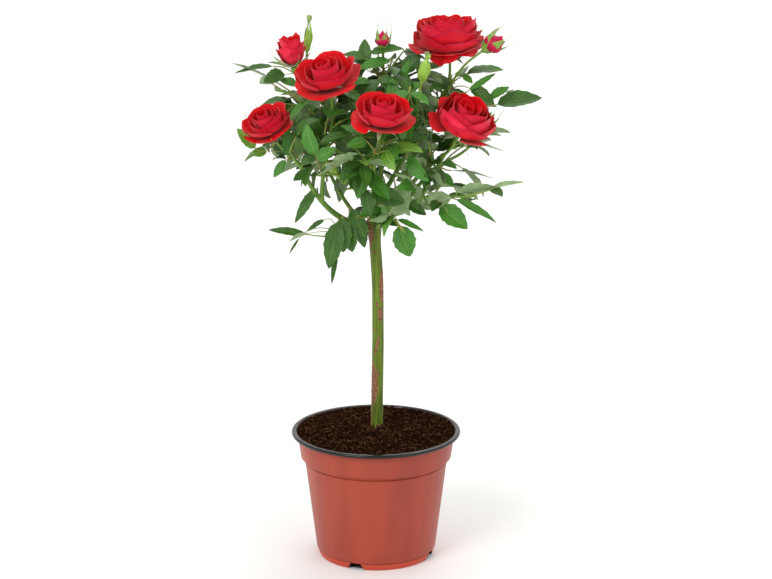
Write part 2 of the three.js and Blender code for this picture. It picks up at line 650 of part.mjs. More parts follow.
// One leaf on its stalk: its plan, and the way from that plan to its place in the crown.
// In the plan y runs along the stalk and on past its end, and x runs across.
function leafPlan(stalk, face, scale, pairs) {
  const reach = stalk.getLength();
  const forward = stalk.getTangent(1).normalize();
  const side = new THREE.Vector3().crossVectors(forward, face).normalize();
  const leaflets = [{ y: reach, hand: 0, angle: 0, size: scale * LEAFLET }];
  for (let pair = 0; pair < pairs; pair += 1) {
    const y = reach - PAIR_BACK[pair] * scale;
    const size = scale * LEAFLET * PAIR_SIZE[pair];
    const pairOf = (hand) => ({ y, hand, angle: PAIR_ANGLE, size });
    if (y > LEAST_STALK) leaflets.push(pairOf(1), pairOf(-1));
  }
  const place = (x, y, lift) => {
    const t = Math.min(y / reach, 1);
    const up = new THREE.Vector3().crossVectors(side, stalk.getTangent(t)).normalize();
    return stalk.getPoint(t).addScaledVector(forward, Math.max(y - reach, 0))
      .addScaledVector(side, x).addScaledVector(up, lift);
  };
  leaflets.forEach((leaflet) => {
    leaflet.points = BLADE_POINTS.map(([run, across]) => {
      const [x, y] = onLeaflet(leaflet, run, across);
      return place(x, y, 0);
    });
  });
  return { reach, leaflets, place, stalk };
}

// A point of a leaflet in the leaf's plan: run is from its root to its tip, and across
// is from its midrib to its edge
function onLeaflet({ y, hand, angle, size }, run, across) {
  const out = hand * Math.sin(angle);
  const on = Math.cos(angle);
  const half = (size * LEAFLET_WIDTH) / 2;
  return [
    out * run * size + (hand === 0 ? 1 : hand * on) * across * half,
    y + on * run * size - (hand === 0 ? 0 : Math.sin(angle)) * across * half,
  ];
}

// The leaf's plan as cells: the stretches of its stalk, and each leaflet in three that fold
// along its midrib. A corner is across, along, and the height that it is lifted to.
function leafCells({ reach, leaflets }) {
  const half = LEAF_STALK_WIDTH / 2;
  const roots = leaflets.slice(1).flatMap(({ y }) => [y - LEAFLET_ROOT / 2, y + LEAFLET_ROOT / 2]);
  const lowest = Math.min(reach, ...roots);
  const bends = Math.floor(lowest / STALK_BEND_STEP) + 1;
  const steps = Array.from({ length: bends }, (_, i) => (lowest * i) / bends);
  const levels = [...new Set([...steps, ...roots, reach])].sort((a, b) => a - b);
  const stalk = levels.slice(1).map((y, i) => [
    [-half, levels[i], 0], [half, levels[i], 0], [half, y, 0], [-half, y, 0],
  ]);
  const blades = leaflets.flatMap((leaflet) => {
    const { y, hand, size } = leaflet;
    const root = hand === 0 ? 0 : LEAFLET_ROOT / 2;
    const low = [hand === 0 ? half : hand * half, y - root, 0];
    const high = [hand === 0 ? -half : hand * half, y + root, 0];
    const broadest = (across) => [...onLeaflet(leaflet, LEAFLET_BROADEST, across), LEAFLET_CUP * size];
    const tip = [...onLeaflet(leaflet, 1, 0), -LEAFLET_CUP * size];
    const cells = [[low, broadest(1), tip], [low, tip, high], [high, tip, broadest(-1)]];
    return hand < 0 ? cells.map((cell) => cell.reverse()) : cells;
  });
  return [...stalk, ...blades];
}

// A plate over the leaf's cells: an upper and a lower face, and walls along the edges that
// no two cells share
function leafSolid(plan) {
  const corners = [];
  const numberOf = (corner) => {
    const same = ([x, y]) => Math.hypot(x - corner[0], y - corner[1]) < 1e-4;
    if (!corners.some(same)) corners.push(corner);
    return corners.findIndex(same);
  };
  const triangles = leafCells(plan).map((cell) => cell.map(numberOf))
    .flatMap((cell) => cell.slice(2).map((last, i) => [cell[0], cell[i + 1], last]));
  const edges = triangles.flatMap(([a, b, c]) => [[a, b], [b, c], [c, a]]);
  const rim = edges.filter(([a, b]) => !edges.some(([c, d]) => a === d && b === c));
  const below = corners.length;
  const geometry = new THREE.BufferGeometry();
  geometry.setAttribute('position', new THREE.Float32BufferAttribute(
    [LEAF_THICK / 2, -LEAF_THICK / 2].flatMap((off) =>
      corners.flatMap(([x, y, lift]) => plan.place(x, y, lift + off).toArray())), 3));
  geometry.setIndex([
    ...triangles.flat(),
    ...triangles.flatMap(([a, b, c]) => [below + c, below + b, below + a]),
    ...rim.flatMap(([a, b]) => [below + a, below + b, b, below + a, b, a]),
  ]);
  return solidFrom(geometry);
}

// Points along a leaf's stalk or a twig, past the stretch that is close to its own limb
function curvePoints(curve) {
  const length = curve.getLength();
  const steps = Math.max(Math.ceil((length - FREE_FROM) / SAMPLE_STEP), 1);
  const from = Math.min(FREE_FROM / length, 0.9);
  return Array.from({ length: steps + 1 }, (_, i) => curve.getPoint(from + ((1 - from) * i) / steps));
}

// A leaf with the leaflets that fit. It doesn't fit at all if its stalk or its last
// leaflet isn't free, and inside the crown it needs one more.
function fitLeaf(shoot, stalk, face, scale, pairs, bounded) {
  if (!curvePoints(stalk).every((p) => isFree(p, shoot, bounded))) return null;
  const plan = leafPlan(stalk, face, scale, pairs);
  const fits = (leaflet) => leaflet.points.every((p) => isFree(p, shoot, bounded));
  if (!fits(plan.leaflets[0])) return null;
  plan.leaflets = [plan.leaflets[0], ...plan.leaflets.slice(1).filter(fits)];
  return plan.leaflets.length > 1 || !bounded ? plan : null;
}

function takeLeaf(plan) {
  plan.leaflets.forEach((leaflet) => take(leaflet.points));
  take(curvePoints(plan.stalk));
  return leafSolid(plan);
}

// The way that a leaf's upper face looks: up, a little outward, and turned by chance
function leafFace(along, point, turn) {
  const outward = point.clone().sub(vec(CROWN_MIDDLE)).normalize();
  const face = new THREE.Vector3(0, 0, 1).addScaledVector(outward, FACE_OUTWARD);
  face.addScaledVector(along, -face.dot(along)).normalize();
  return face.applyAxisAngle(along, (turn - 0.5) * FACE_TURN);
}

// A fixed way across a limb, from which the turns round it are counted
const sideways = (along) => new THREE.Vector3().crossVectors(along, vec(TURNS_FROM)).normalize();

// A leaf that follows the rule: it leaves its limb sideways, arches and droops. Of a few
// ways round the limb, the first that keeps the most leaflets is taken.
function freeLeaf(shoot, curve, at, turn, seed) {
  const point = curve.getPoint(at);
  const along = curve.getTangent(at).normalize();
  const across = sideways(along);
  const scale = SCALE_LEAST + SCALE_SPREAD * chance(seed, 1);
  const pairs = chance(seed, 4) < SECOND_PAIR_CHANCE ? 2 : 1;
  let best = null;
  for (let attempt = 0; attempt < TRIES; attempt += 1) {
    const way = across.clone().applyAxisAngle(along, turn + attempt * TRY_TURN).multiplyScalar(LEAF_OUT)
      .addScaledVector(along, TRY_LEAN[attempt % TRY_LEAN.length]).normalize();
    const reach = LEAF_STALK * scale;
    const elbow = point.clone().addScaledVector(way, reach * LEAF_ELBOW);
    const end = point.clone().addScaledVector(way, reach).add(new THREE.Vector3(0, 0, -reach * LEAF_SAG));
    const stalk = new THREE.QuadraticBezierCurve3(point, elbow, end);
    const face = leafFace(stalk.getTangent(1).normalize(), end, chance(seed, 2));
    const plan = fitLeaf(shoot, stalk, face, scale, pairs, true);
    if (plan && (best === null || plan.leaflets.length > best.leaflets.length)) best = plan;
  }
  return best ? [takeLeaf(best)] : [];
}

// A leaf on the outline: its last leaflet ends at a named tip. It is turned about its
// own line, and made smaller, only as far as it takes to keep the most leaflets.
function outerLeaf(shoot, entry, seed) {
  const start = shoot.stem.getPoint(entry.at);
  const tip = vec(entry.tip);
  const falling = tip.clone().sub(start).normalize().add(new THREE.Vector3(0, 0, -entry.fall)).normalize();
  let best = null;
  for (const scale of OUTER_SCALES) {
    const end = tip.clone().addScaledVector(falling, -LEAFLET * scale);
    const elbow = end.clone().addScaledVector(falling, -start.distanceTo(end) * OUTER_ELBOW);
    const stalk = new THREE.QuadraticBezierCurve3(start, elbow, end);
    for (const turn of OUTER_TURNS) {
      const face = leafFace(falling, end, chance(seed, 2) + turn);
      const plan = fitLeaf(shoot, stalk, face, scale, OUTER_PAIRS, false);
      if (plan && (best === null || plan.leaflets.length > best.leaflets.length)) best = plan;
    }
  }
  return best ? [takeLeaf(best)] : [];
}

// A side twig and its leaves, left out whole where it isn't free or bears none
function sideTwig(shoot, at, turn, seed) {
  const point = shoot.stem.getPoint(at);
  const along = shoot.stem.getTangent(at).normalize();
  const across = sideways(along);
  for (let attempt = 0; attempt < TRIES; attempt += 1) {
    const way = across.clone().applyAxisAngle(along, turn + attempt * TRY_TURN)
      .addScaledVector(along, TWIG_FORWARD).normalize();
    const reach = THREE.MathUtils.lerp(...TWIG_LENGTH, chance(seed, 3));
    const end = point.clone().addScaledVector(way, reach).add(new THREE.Vector3(0, 0, reach * TWIG_RISE));
    const twig = stemCurve(point, way, end, end.clone().sub(point).normalize(), TWIG_STEPS);
    if (!curvePoints(twig).every((p) => isFree(p, shoot, true))) continue;
    const leaves = TWIG_LEAVES.flatMap((t, i) => freeLeaf(
      shoot, twig, t, turn + i * GOLDEN_ANGLE, seed + TWIG_SEEDS[i]));
    if (leaves.length === 0) continue;
    take(curvePoints(twig));
    return [solidFrom(limb(twig, taper(TWIG_RADIUS, TWIG_TIP_RADIUS), TWIG_SIDES, TWIG_STEPS)), ...leaves];
  }
  return [];
}

// All masses grow together, one node of every stem after another, so that each gets its
// share of the crown. The leaves of the outline come first. At each node a stem bears a
// leaf, and at every other one a side twig as well.
function growMasses() {
  const masses = new Map([...shoots.values()].map((shoot) => {
    const stem = solidFrom(limb(shoot.stem, taper(shoot.end, STEM_TIP_RADIUS), STEM_SIDES, STEM_STEPS));
    const twigs = shoot.twigs.map((twig) => solidFrom(
      limb(twig, taper(STEM_TIP_RADIUS, STEM_TIP_RADIUS), STEM_SIDES, STEM_STEPS)));
    return [shoot.name, [stem, ...twigs]];
  }));
  OUTER_LEAVES.forEach((entry, i) => {
    masses.get(entry.shoot).push(...outerLeaf(shoots.get(entry.shoot), entry, OUTER_SEED + i));
  });
  for (let node = 0; node < MOST_NODES; node += 1) {
    for (const shoot of shoots.values()) {
      const at = (FIRST_NODE + node * NODE_SPACING) / shoot.stem.getLength();
      if (at > 1) continue;
      const seed = shoot.number * 100 + node;
      const turn = shoot.number + node * GOLDEN_ANGLE;
      masses.get(shoot.name).push(...freeLeaf(shoot, shoot.stem, at, turn, seed));
      if (node % TWIG_EVERY === 1) {
        masses.get(shoot.name).push(...sideTwig(shoot, at, turn + Math.PI, seed));
      }
    }
  }
  return masses;
}

// Flowers: one surface from the stalk's cut end over the hip and the outer petals, then
// in and out over each inner ring of petals to the heart. Heights and radii are shares
// of half the width, and lobes are the scallops that the petals' rims make.
const OPEN_RINGS = [
  { radius: 0.1, height: 0 },
  { radius: 0.34, height: 0.1 },
  { radius: 0.7, height: 0.26, lobes: 0.04 },
  { radius: 0.92, height: 0.56, lobes: 0.09 },
  { radius: 0.74, height: 0.66, lobes: 0.08 },
  { radius: 0.72, height: 0.92, lobes: 0.08, turn: 0.5 },
  { radius: 0.52, height: 0.86, lobes: 0.06, turn: 0.5 },
  { radius: 0.46, height: 1.1, lobes: 0.06 },
  { radius: 0.22, height: 0.98 },
];
const OPEN_HEART = 1.06;
const HALF_RINGS = [
  { radius: 0.14, height: 0 },
  { radius: 0.5, height: 0.12 },
  { radius: 0.95, height: 0.8, lobes: 0.05 },
  { radius: 1, height: 1.5, lobes: 0.1 },
  { radius: 0.7, height: 1.7, lobes: 0.08 },
  { radius: 0.62, height: 2.1, lobes: 0.06, turn: 0.5 },
  { radius: 0.3, height: 2 },
];
const HALF_HEART = 2.1;
const BUD_RINGS = [
  { radius: 0.25, height: 0 },
  { radius: 0.62, height: 0.3 },
  { radius: 1, height: 1.1 },
  { radius: 0.75, height: 1.9 },
];
const BUD_HEART = 2.6;
const PETALS_ROUND = 5;

function flowerShape(rings, heart, half, segments) {
  const stalk = [
    { radius: 0, height: -STALK_LENGTH / half },
    { radius: STALK_RADIUS / half, height: -STALK_LENGTH / half },
    { radius: STALK_RADIUS / half, height: -1 / half },
  ];
  const all = [...stalk, ...rings, { radius: 0, height: heart }];
  const profile = all.map((ring, i) => new THREE.Vector2(ring.radius, i));
  return reshape(new THREE.LatheGeometry(profile, segments).rotateX(Math.PI / 2), (p) => {
    const ring = all[Math.round(p.z)];
    const angle = Math.atan2(p.y, p.x);
    const wave = Math.cos(PETALS_ROUND * (angle + ((ring.turn ?? 0) * 2 * Math.PI) / PETALS_ROUND));
    const lobe = (ring.lobes ?? 0) * wave;
    const scale = half * (1 + lobe);
    return new THREE.Vector3(p.x * scale, p.y * scale, ring.height * half * (1 - lobe / 2));
  });
}

// A sepal: an octahedron drawn out to a thin pointed blade
function sepalSolid(root, along, face, length) {
  const side = new THREE.Vector3().crossVectors(along, face).normalize();
  return solidFrom(reshape(new THREE.OctahedronGeometry(1), (p) => root.clone()
    .addScaledVector(along, ((p.y + 1) / 2) * length)
    .addScaledVector(side, p.x * SEPAL_HALF_WIDTH)
    .addScaledVector(face, (p.z * LEAF_THICK) / 2)));
}

function makeFlower(flower) {
  const { face, foot } = flowerFoot(flower);
  const half = flower.width / 2;
  const [rings, heart, segments] = {
    open: [OPEN_RINGS, OPEN_HEART, FLOWER_SEGMENTS],
    half: [HALF_RINGS, HALF_HEART, FLOWER_SEGMENTS],
    bud: [BUD_RINGS, BUD_HEART, BUD_SEGMENTS],
  }[flower.kind];
  let solid = solidFrom(flowerShape(rings, heart, half, segments));
  const sepal = SEPAL_LENGTH[flower.name];
  if (sepal) {
    const outward = (i) => new THREE.Vector3(Math.cos(i * SEPAL_TURN), Math.sin(i * SEPAL_TURN), 0);
    const sepals = Array.from({ length: SEPALS }, (_, i) => sepalSolid(
      outward(i).multiplyScalar(half * SEPAL_ROOT[0]).setZ(half * SEPAL_ROOT[1]),
      outward(i).multiplyScalar(SEPAL_SPLAY).setZ(1).normalize(),
      outward(i).multiplyScalar(-1),
      sepal * (i === 0 ? 1 : SHORTER_SEPAL),
    ));
    solid = wasm.Manifold.union([solid, ...sepals]);
  }
  const turn = new THREE.Quaternion().setFromUnitVectors(new THREE.Vector3(0, 0, 1), face);
  const place = new THREE.Matrix4().compose(foot, turn, new THREE.Vector3(1, 1, 1));
  return solid.transform(place.elements);
}

// The whole plant

const plant = new THREE.Group();
plant.add(meshFrom('pot', makePot(), MATERIALS.pot));
plant.add(meshFrom('peat', makePeat(), MATERIALS.peat));
plant.add(meshFrom('trunk', makeTrunk(0), MATERIALS.bark));

const cleared = [makeTrunk(CLEAR)];
for (const shoot of shoots.values()) {
  const bough = (grow) => solidFrom(limb(
    shoot.bough, taper(shoot.base, shoot.end), BOUGH_SIDES, BOUGH_STEPS, grow));
  const cut = bough(0).subtract(wasm.Manifold.union(cleared));
  plant.add(meshFrom(`bough_${shoot.name}`, cut, MATERIALS.shoot));
  cleared.push(bough(CLEAR));
}
for (const [name, solids] of growMasses()) {
  plant.add(meshFrom(`leaves_${name}`, wasm.Manifold.union(solids), MATERIALS.leaf));
}
for (const flower of FLOWERS) {
  const finish = flower.kind === 'bud' ? MATERIALS.bud : MATERIALS.petal;
  plant.add(meshFrom(flower.name, makeFlower(flower), finish));
}

export default plant;
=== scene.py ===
"""Looks of a dwarf rose trained as a standard in its nursery pot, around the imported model.

Lengths are millimetres until a mesh is made. +Z is up and the front of the plant faces -Y.
The masses of leaves grow by the rule of the part's source, written again here: the same
shoots, seeds and tests give the same leaf stalks. They are then drawn at their natural
size, and the rule is carried on to finer twigs and leaves within the same reach.
"""
import json
import math

import bpy
import numpy as np
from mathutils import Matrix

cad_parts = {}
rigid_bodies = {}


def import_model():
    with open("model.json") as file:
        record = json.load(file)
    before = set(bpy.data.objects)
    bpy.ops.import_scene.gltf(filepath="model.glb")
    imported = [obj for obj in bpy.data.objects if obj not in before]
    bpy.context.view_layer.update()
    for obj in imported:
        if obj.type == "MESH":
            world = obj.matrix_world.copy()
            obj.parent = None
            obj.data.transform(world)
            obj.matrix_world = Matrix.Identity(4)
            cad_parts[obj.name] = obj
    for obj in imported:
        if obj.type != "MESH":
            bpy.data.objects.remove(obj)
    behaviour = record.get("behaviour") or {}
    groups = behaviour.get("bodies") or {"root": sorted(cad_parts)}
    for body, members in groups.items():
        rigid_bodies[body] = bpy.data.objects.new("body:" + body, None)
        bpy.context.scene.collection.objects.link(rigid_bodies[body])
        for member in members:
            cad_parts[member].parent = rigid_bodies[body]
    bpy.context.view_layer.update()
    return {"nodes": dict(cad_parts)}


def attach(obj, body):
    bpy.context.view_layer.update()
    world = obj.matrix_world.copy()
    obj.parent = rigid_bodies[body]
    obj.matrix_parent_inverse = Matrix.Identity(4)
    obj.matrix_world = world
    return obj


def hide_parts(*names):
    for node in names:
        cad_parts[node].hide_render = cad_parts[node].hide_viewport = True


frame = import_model()
MM = 0.001

# Camera: far off and a little above, with a long lens
PHOTO_SIZE = (772, 579)
FOCAL_PIXELS = 2314
CAMERA_PLACE = (7.7, -1700, 650)
CAMERA_PITCH_DEG = 14.5
SENSOR = 36

# Pot, as in the model: rim, collar, step, body and foot band
POT_HEIGHT = 99.3
RIM_RADIUS = 65
RIM_WIDTH = 4
RIM_DEPTH = 2.8
COLLAR_TOP_RADIUS = 60.2
COLLAR_FOOT_RADIUS = 58
COLLAR_FOOT_Z = 79
BODY_TOP_RADIUS = 54.8
BODY_TOP_Z = 76
BODY_FOOT_RADIUS = 46
BODY_FOOT_Z = 5.8
BAND_TOP_RADIUS = 45.3
BAND_TOP_Z = 5
FOOT_RADIUS = 44
WALL = 0.9
FLOOR = 1.2
POT_SEGMENTS = 160
BODY_STEPS = 8
RIM_STEPS = 12
RIM_START = -0.32
RIM_SWEEP = 1.24
RIM_SQUARE = 0.75
NOTCH_COUNT = 4
NOTCH_FIRST_DEG = 249.7
NOTCH_FOOT_WIDTH = 15
NOTCH_TOP_WIDTH = 8
NOTCH_HEIGHT = 5
NOTCH_INNER_RADIUS = 40
NOTCH_OUTER_RADIUS = 50

# Peat
PEAT_EDGE_Z = 97.7
PEAT_TOP_Z = 99.3
PEAT_FLAT_RADIUS = 7
PEAT_TILT = 1.4
PEAT_TILT_DEG = 45
PEAT_SLOPE_POWER = 1.2
PEAT_LIP_RADIUS = 61.3
PEAT_LIP_Z = 98.3
PEAT_LIP_RUN = 5
PEAT_LUMPS = ((9, 0.5), (4, 0.55), (1.8, 0.5), (0.9, 0.3))
PEAT_RINGS = 64
PEAT_SEGMENTS = 200
PEAT_SEED = 3

# Crumbs of peat, of which the first are heaped at the stem and the last lie at the rim, and
# fibres in it
CRUMBS = 5600
CRUMB_LEAST = 0.25
CRUMB_SPREAD = 1
HEAPED_CRUMBS = 420
HEAP_RUN = 3
HEAP_RADIUS = 6.4
HEAP_SLOPE = 2.6
EDGE_CRUMBS = 900
EDGE_RUN = 2.6
NEIGHBOURS_WITHIN = 1.2
FIBRES = 130
FIBRE_LENGTH = (1.5, 6)
FIBRE_RISE = 1.3
FIBRE_RADII = (0.08, 0.18)

# Trunk
CLEAR = 0.3
END_GAP = 0.55
TRUNK_FOOT_Z = PEAT_TOP_Z + CLEAR
TRUNK_TOP_Z = 268
TRUNK_FOOT_RADIUS = 4.5
TRUNK_TOP_RADIUS = 4.2
FLARE = 0.4
FLARE_HEIGHT = 7
GRAFT_Z = 259
GRAFT_SWELL = 1.4
GRAFT_HALF_HEIGHT = 8
TOP_CUT = 0.55
TOP_CUT_HEIGHT = 4
TRUNK_LEAN = ((0.6, 0, TRUNK_FOOT_Z), (1.6, 0, 182), (0.9, 0, 225), (-2.1, 0, TRUNK_TOP_Z))

# Corky patches on the trunk: the height of the middle, half the height, the bearing of the
# middle from the front towards the right in degrees, half the width in degrees, and how
# far the middle drifts round from foot to top
CORK_PATCHES = (
    (214, 15, 62, 56, 8),
    (192, 7, 28, 36, 0),
    (200, 2.4, -6, 18, 0),
    (167, 9, -8, 18, 24),
    (137, 19, -46, 62, 0),
    (110, 13, -92, 44, 0),
    (235, 16, -96, 26, 0),
    (257, 15, -66, 66, -16),
    (101.5, 3.4, 34, 60, 0),
    (240.4, 0.8, -22, 34, 0),
    (231, 0.6, 20, 24, 0),
    (180, 0.7, -30, 26, 0),
    (150, 22, 160, 50, 20),
    (222, 26, 200, 46, -20),
    (118, 12, 118, 30, 10),
)

# Shoots: each is a bare bough that goes on as the stem of one mass of leaves. At is the height
# on the trunk or the share of the parent bough that it leaves at, bend is how far it sags or
# rises, base and end are radii, and head is where a stem ends that bears no flower.
SHOOT_COLUMNS = ("name", "parent", "at", "tip", "bend", "base", "end", "head")
SHOOTS = [dict(zip(SHOOT_COLUMNS, row)) for row in (
    ("left", "trunk", 259, (-53.7, -20, 306.1), 1, 2.5, 1.6),
    ("right", "trunk", 262, (31, -22.5, 302), 0.1, 2.2, 1.6),
    ("front", "trunk", 263, (-1.5, -40, 308), 0.1, 1.8, 1.4),
    ("back", "trunk", 260, (-2, 36, 305), 0.2, 2, 1.4),
    ("top", "trunk", 262, (7, 1, 322), 0, 2.2, 1.5),
    ("low_left", "trunk", 253, (-20.7, -15, 262.4), -1, 1.4, 1.2, (-30, -25, 250)),
    ("low_front", "trunk", 254, (8.6, -24, 272), -0.6, 1.4, 1.2, (22, -40, 264)),
    ("back_low", "trunk", 252, (7, 24, 268), -0.5, 1.4, 1.2, (20, 60, 270)),
    ("side_left", "trunk", 255, (-33, 17, 293), 0.5, 1.8, 1.3),
    ("side_right", "trunk", 256, (35, 13, 292), 0.4, 1.8, 1.3),
    ("left_fork", "left", 0.68, (-38, -25, 311), -0.4, 1.7, 1.4),
    ("mid_left", "front", 0.3, (-16, -26, 294), 0.2, 1.3, 1.1, (-17, -52, 324)),
    ("right_low", "right", 0.3, (29, -25, 284), 0.6, 1.4, 1.2, (74, -34, 290)),
    ("front_right", "right", 0.66, (27, -29, 315), -0.6, 1.4, 1.2),
    ("top_right", "top", 0.25, (23, 5, 316), 0.2, 2, 1.5),
    ("top_left", "top", 0.2, (-25, 4, 316), 0.2, 1.8, 1.4),
    ("top_back", "top", 0.5, (-8, 23, 329), 0.2, 1.5, 1.2),
    ("back_left", "back", 0.3, (-24, 38, 302), 0.3, 1.5, 1.2),
    ("back_right", "back", 0.4, (22, 40, 303), 0.3, 1.5, 1.2),
)]

# Flowers: the shoot that bears each, and how far up its stem where it has a twig of its own;
# its middle, the way it faces, its width, and how its petals are turned where that is set
FLOWER_COLUMNS = ("name", "kind", "shoot", "at", "middle", "face", "width", "turn")
FLOWERS = [dict(zip(FLOWER_COLUMNS, row)) for row in (
    ("rose_front_a", "open", "left_fork", None, (-36.6, -52, 386), (-0.2, -0.36, 0.91), 45),
    ("rose_front_b", "open", "left", None, (-81, -34, 347.4), (-0.36, -0.42, 0.83), 36),
    ("rose_front_c", "open", "front", None, (5.4, -78, 363), (0.08, -0.34, 0.94), 43),
    ("rose_top_d", "open", "top_right", None, (53.6, -4, 405.4), (-0.06, -0.1, 0.99), 50, -2),
    ("rose_front_e", "open", "right", None, (66, -52, 354), (0.3, -0.44, 0.85), 50),
    ("rose_back_f", "open", "back", None, (2, 74, 338), (0.02, 0.64, 0.77), 42),
    ("rose_back_g", "open", "back_left", None, (-79, 46, 331), (-0.5, 0.42, 0.76), 36),
    ("rose_back_h", "open", "back_right", None, (69, 62, 332), (0.4, 0.52, 0.76), 44),
    ("rose_back_i", "open", "top_back", None, (-36, 50, 364), (-0.2, 0.45, 0.87), 42),
    ("rose_half_open", "half", "top_left", None, (-61.8, -14, 395), (-0.16, -0.15, 0.97), 20),
    ("bud_top", "bud", "top", None, (5.5, -4, 401.2), (0, -0.1, 1), 11),
    ("bud_right_red", "bud", "top_right", 0.55, (86, -22, 401.5), (0.78, -0.2, 0.6), 14),
    ("bud_front_right", "bud", "front_right", None, (35.3, -36, 382.6), (0.22, -0.1, 0.97), 10),
    ("bud_left_tall", "bud", "top_left", 0.6, (-50.5, 3, 398), (0.05, 0, 1), 9),
    ("bud_low", "bud", "mid_left", 0.35, (-30.6, -34, 308.9), (-0.55, -0.3, 0.8), 7),
    ("bud_side_left", "bud", "side_left", None, (-88, 20, 335), (-0.5, 0.1, 0.86), 11),
    ("bud_side_right", "bud", "side_right", None, (83, 30, 334), (0.5, 0.1, 0.86), 12),
)]
STALK_LENGTH = 7
STALK_RADIUS = 1.1
FLOWER_DEPTH = dict(open=0.31, half=0.6, bud=0.62)
FLOWER_SPREAD = dict(open=0.5, half=0.75, bud=0.75)

# Outer leaves: the shoot, how far up its stem, the tip that the leaf ends at, and its fall
OUTER_LEAVES = (
    ("top_right", 0.35, (124.6, 4, 358.9), 0.25),
    ("top_right", 0.7, (96, 12, 379.1), 0.2),
    ("top", 0.45, (25, 8, 389), 0.1),
    ("right", 0.3, (96.5, -30, 323.9), 0.3),
    ("right", 0.15, (89, -20, 306), 0.2),
    ("right_low", 0.9, (108.3, -34, 302.2), 0),
    ("right_low", 0.5, (89.6, -34, 271.4), 0.1),
    ("right_low", 0.3, (64, -52, 266), 0.2),
    ("low_front", 0.2, (26.2, -34, 243.3), 1.4),
    ("low_front", 0.9, (42, -44, 266), 0.4),
    ("low_left", 0.3, (-31.8, -30, 222.3), 1.6),
    ("low_left", 0.5, (-81.6, -22, 263.3), 0.1),
    ("left", 0.2, (-66, -27, 272), 0.9),
    ("left", 0.08, (-87, -36, 317), 0.5),
    ("top_left", 0.6, (-105.7, 2, 386), 0),
    ("top_left", 0.35, (-90, 14, 356), 0.2),
    ("top", 0.7, (-13, 8, 390.2), 0.2),
    ("side_right", 0.4, (106, 26, 309), 0.4),
    ("side_right", 0.1, (84, 30, 280), 0.6),
    ("side_left", 0.4, (-100, 22, 309), 0.4),
    ("side_left", 0.1, (-78, 30, 278), 0.6),
    ("back_left", 0.3, (-70, 66, 300), 0.5),
    ("back", 0.3, (-30, 86, 306), 0.5),
    ("back", 0.6, (36, 92, 306), 0.3),
    ("back_right", 0.3, (72, 68, 300), 0.5),
    ("back_low", 0.6, (4, 72, 244), 1.2),
    ("back_low", 0.35, (52, 64, 262), 0.1),
    ("back_low", 0.15, (-28, 46, 258), 0.1),
)

# The rule that leaves grow by, as in the source
LENGTH_POINTS = 201
ELBOW = 0.5
ELBOW_OUT = 0.15
ELBOW_UP = 0.42
STEM_REACH = 0.38
BOUGH_STEPS = 5
STEM_STEPS = 5
STEM_TIP_RADIUS = 0.95
TWIG_STEPS = 2
LEAST_STALK = 3
LEAF_OUT = 0.85
LEAF_ELBOW = 0.55
LEAF_SAG = 0.16
FACE_TURN = 0.9
PAIR_ANGLE = 1.15
SECOND_PAIR_CHANCE = 0.25
SCALE_LEAST = 0.85
SCALE_SPREAD = 0.3
NODE_SPACING = 11.5
FIRST_NODE = 4
GOLDEN_ANGLE = math.pi * (3 - math.sqrt(5))
TURNS_FROM = np.array((0.3, 0.2, 1))
MOST_NODES = 12
OUTER_SEED = 5000
OUTER_SCALES = (1, 0.85, 0.7)
OUTER_TURNS = (0, 0.6, -0.6, 1.2, -1.2)
OUTER_PAIRS = 2
OUTER_ELBOW = 0.42
FREE_FROM = 4.5
TWIG_LEAVES = (0.55, 0.97)
TWIG_EVERY = 2
TWIG_FORWARD = 0.7
TWIG_RISE = 0.12
TWIG_SEEDS = (31, 38)
TRY_TURN = 1.1
TRY_LEAN = (0.5, 0, 0.9)
CROWN_MIDDLE = np.array((6, 2, 324))
CROWN_RADII = np.array((98, 92, 70))
SPACE_SHARE = 30
LIMB_MARGIN = 2.6
FLOWER_MARGIN = 1
SAMPLE_STEP = 5
BLADE_POINTS = np.array((
    (0.15, 0), (0.35, 0), (0.55, 0), (0.75, 0), (0.9, 0), (1, 0),
    (0.28, 0.5), (0.28, -0.5), (0.5, 0.5), (0.5, -0.5), (0.72, 0.45), (0.72, -0.45),
    (0.6, 0.72), (0.6, -0.72), (0.44, 1), (0.44, -1),
))

# Two makes of leaf: the source's large one, and the natural one that is drawn. Both say
# how long and wide a leaflet is, how far back from the last one each pair sits, how large
# a pair is against it, how far apart leaves stay, how far their faces turn outward, how long
# their stalks and side twigs are, how many ways are tried and how far out they reach.
SOURCE_LEAF = dict(leaflet=29, width=0.6, back=(7, 19), size=(0.86, 0.7), apart=4.4, outward=0.5,
                   stalk=23, twig=(19.2, 31.2), tries=12, reach=1.0)
FINE_LEAF = dict(leaflet=25, width=0.46, back=(4, 14.5, 24), size=(0.8, 0.7, 0.55), apart=2.3, outward=1.1,
                 stalk=17, twig=(12, 24), tries=8, reach=0.97)
THIRD_PAIR_CHANCE = 0.35
FINE_SPREAD = 0.2
FINE_SPACING = 5
FINE_FROM = 2
FINE_LAST = 0.98
FINE_NODES = 30
FINE_TWIG_PLACES = (0.3, 0.62, 0.9)
# Above this height the finer rule goes round the stems twice
THICK_ABOVE = 340
# What sets one leaf's chances apart from another's: a number of its own for each
SHOOT_SEEDS = 100
FINE_SEED = 9000
FINE_TWIG_SEEDS = 40
FINE_NODE_SEED = 14000
SECOND_ROUND = 3000

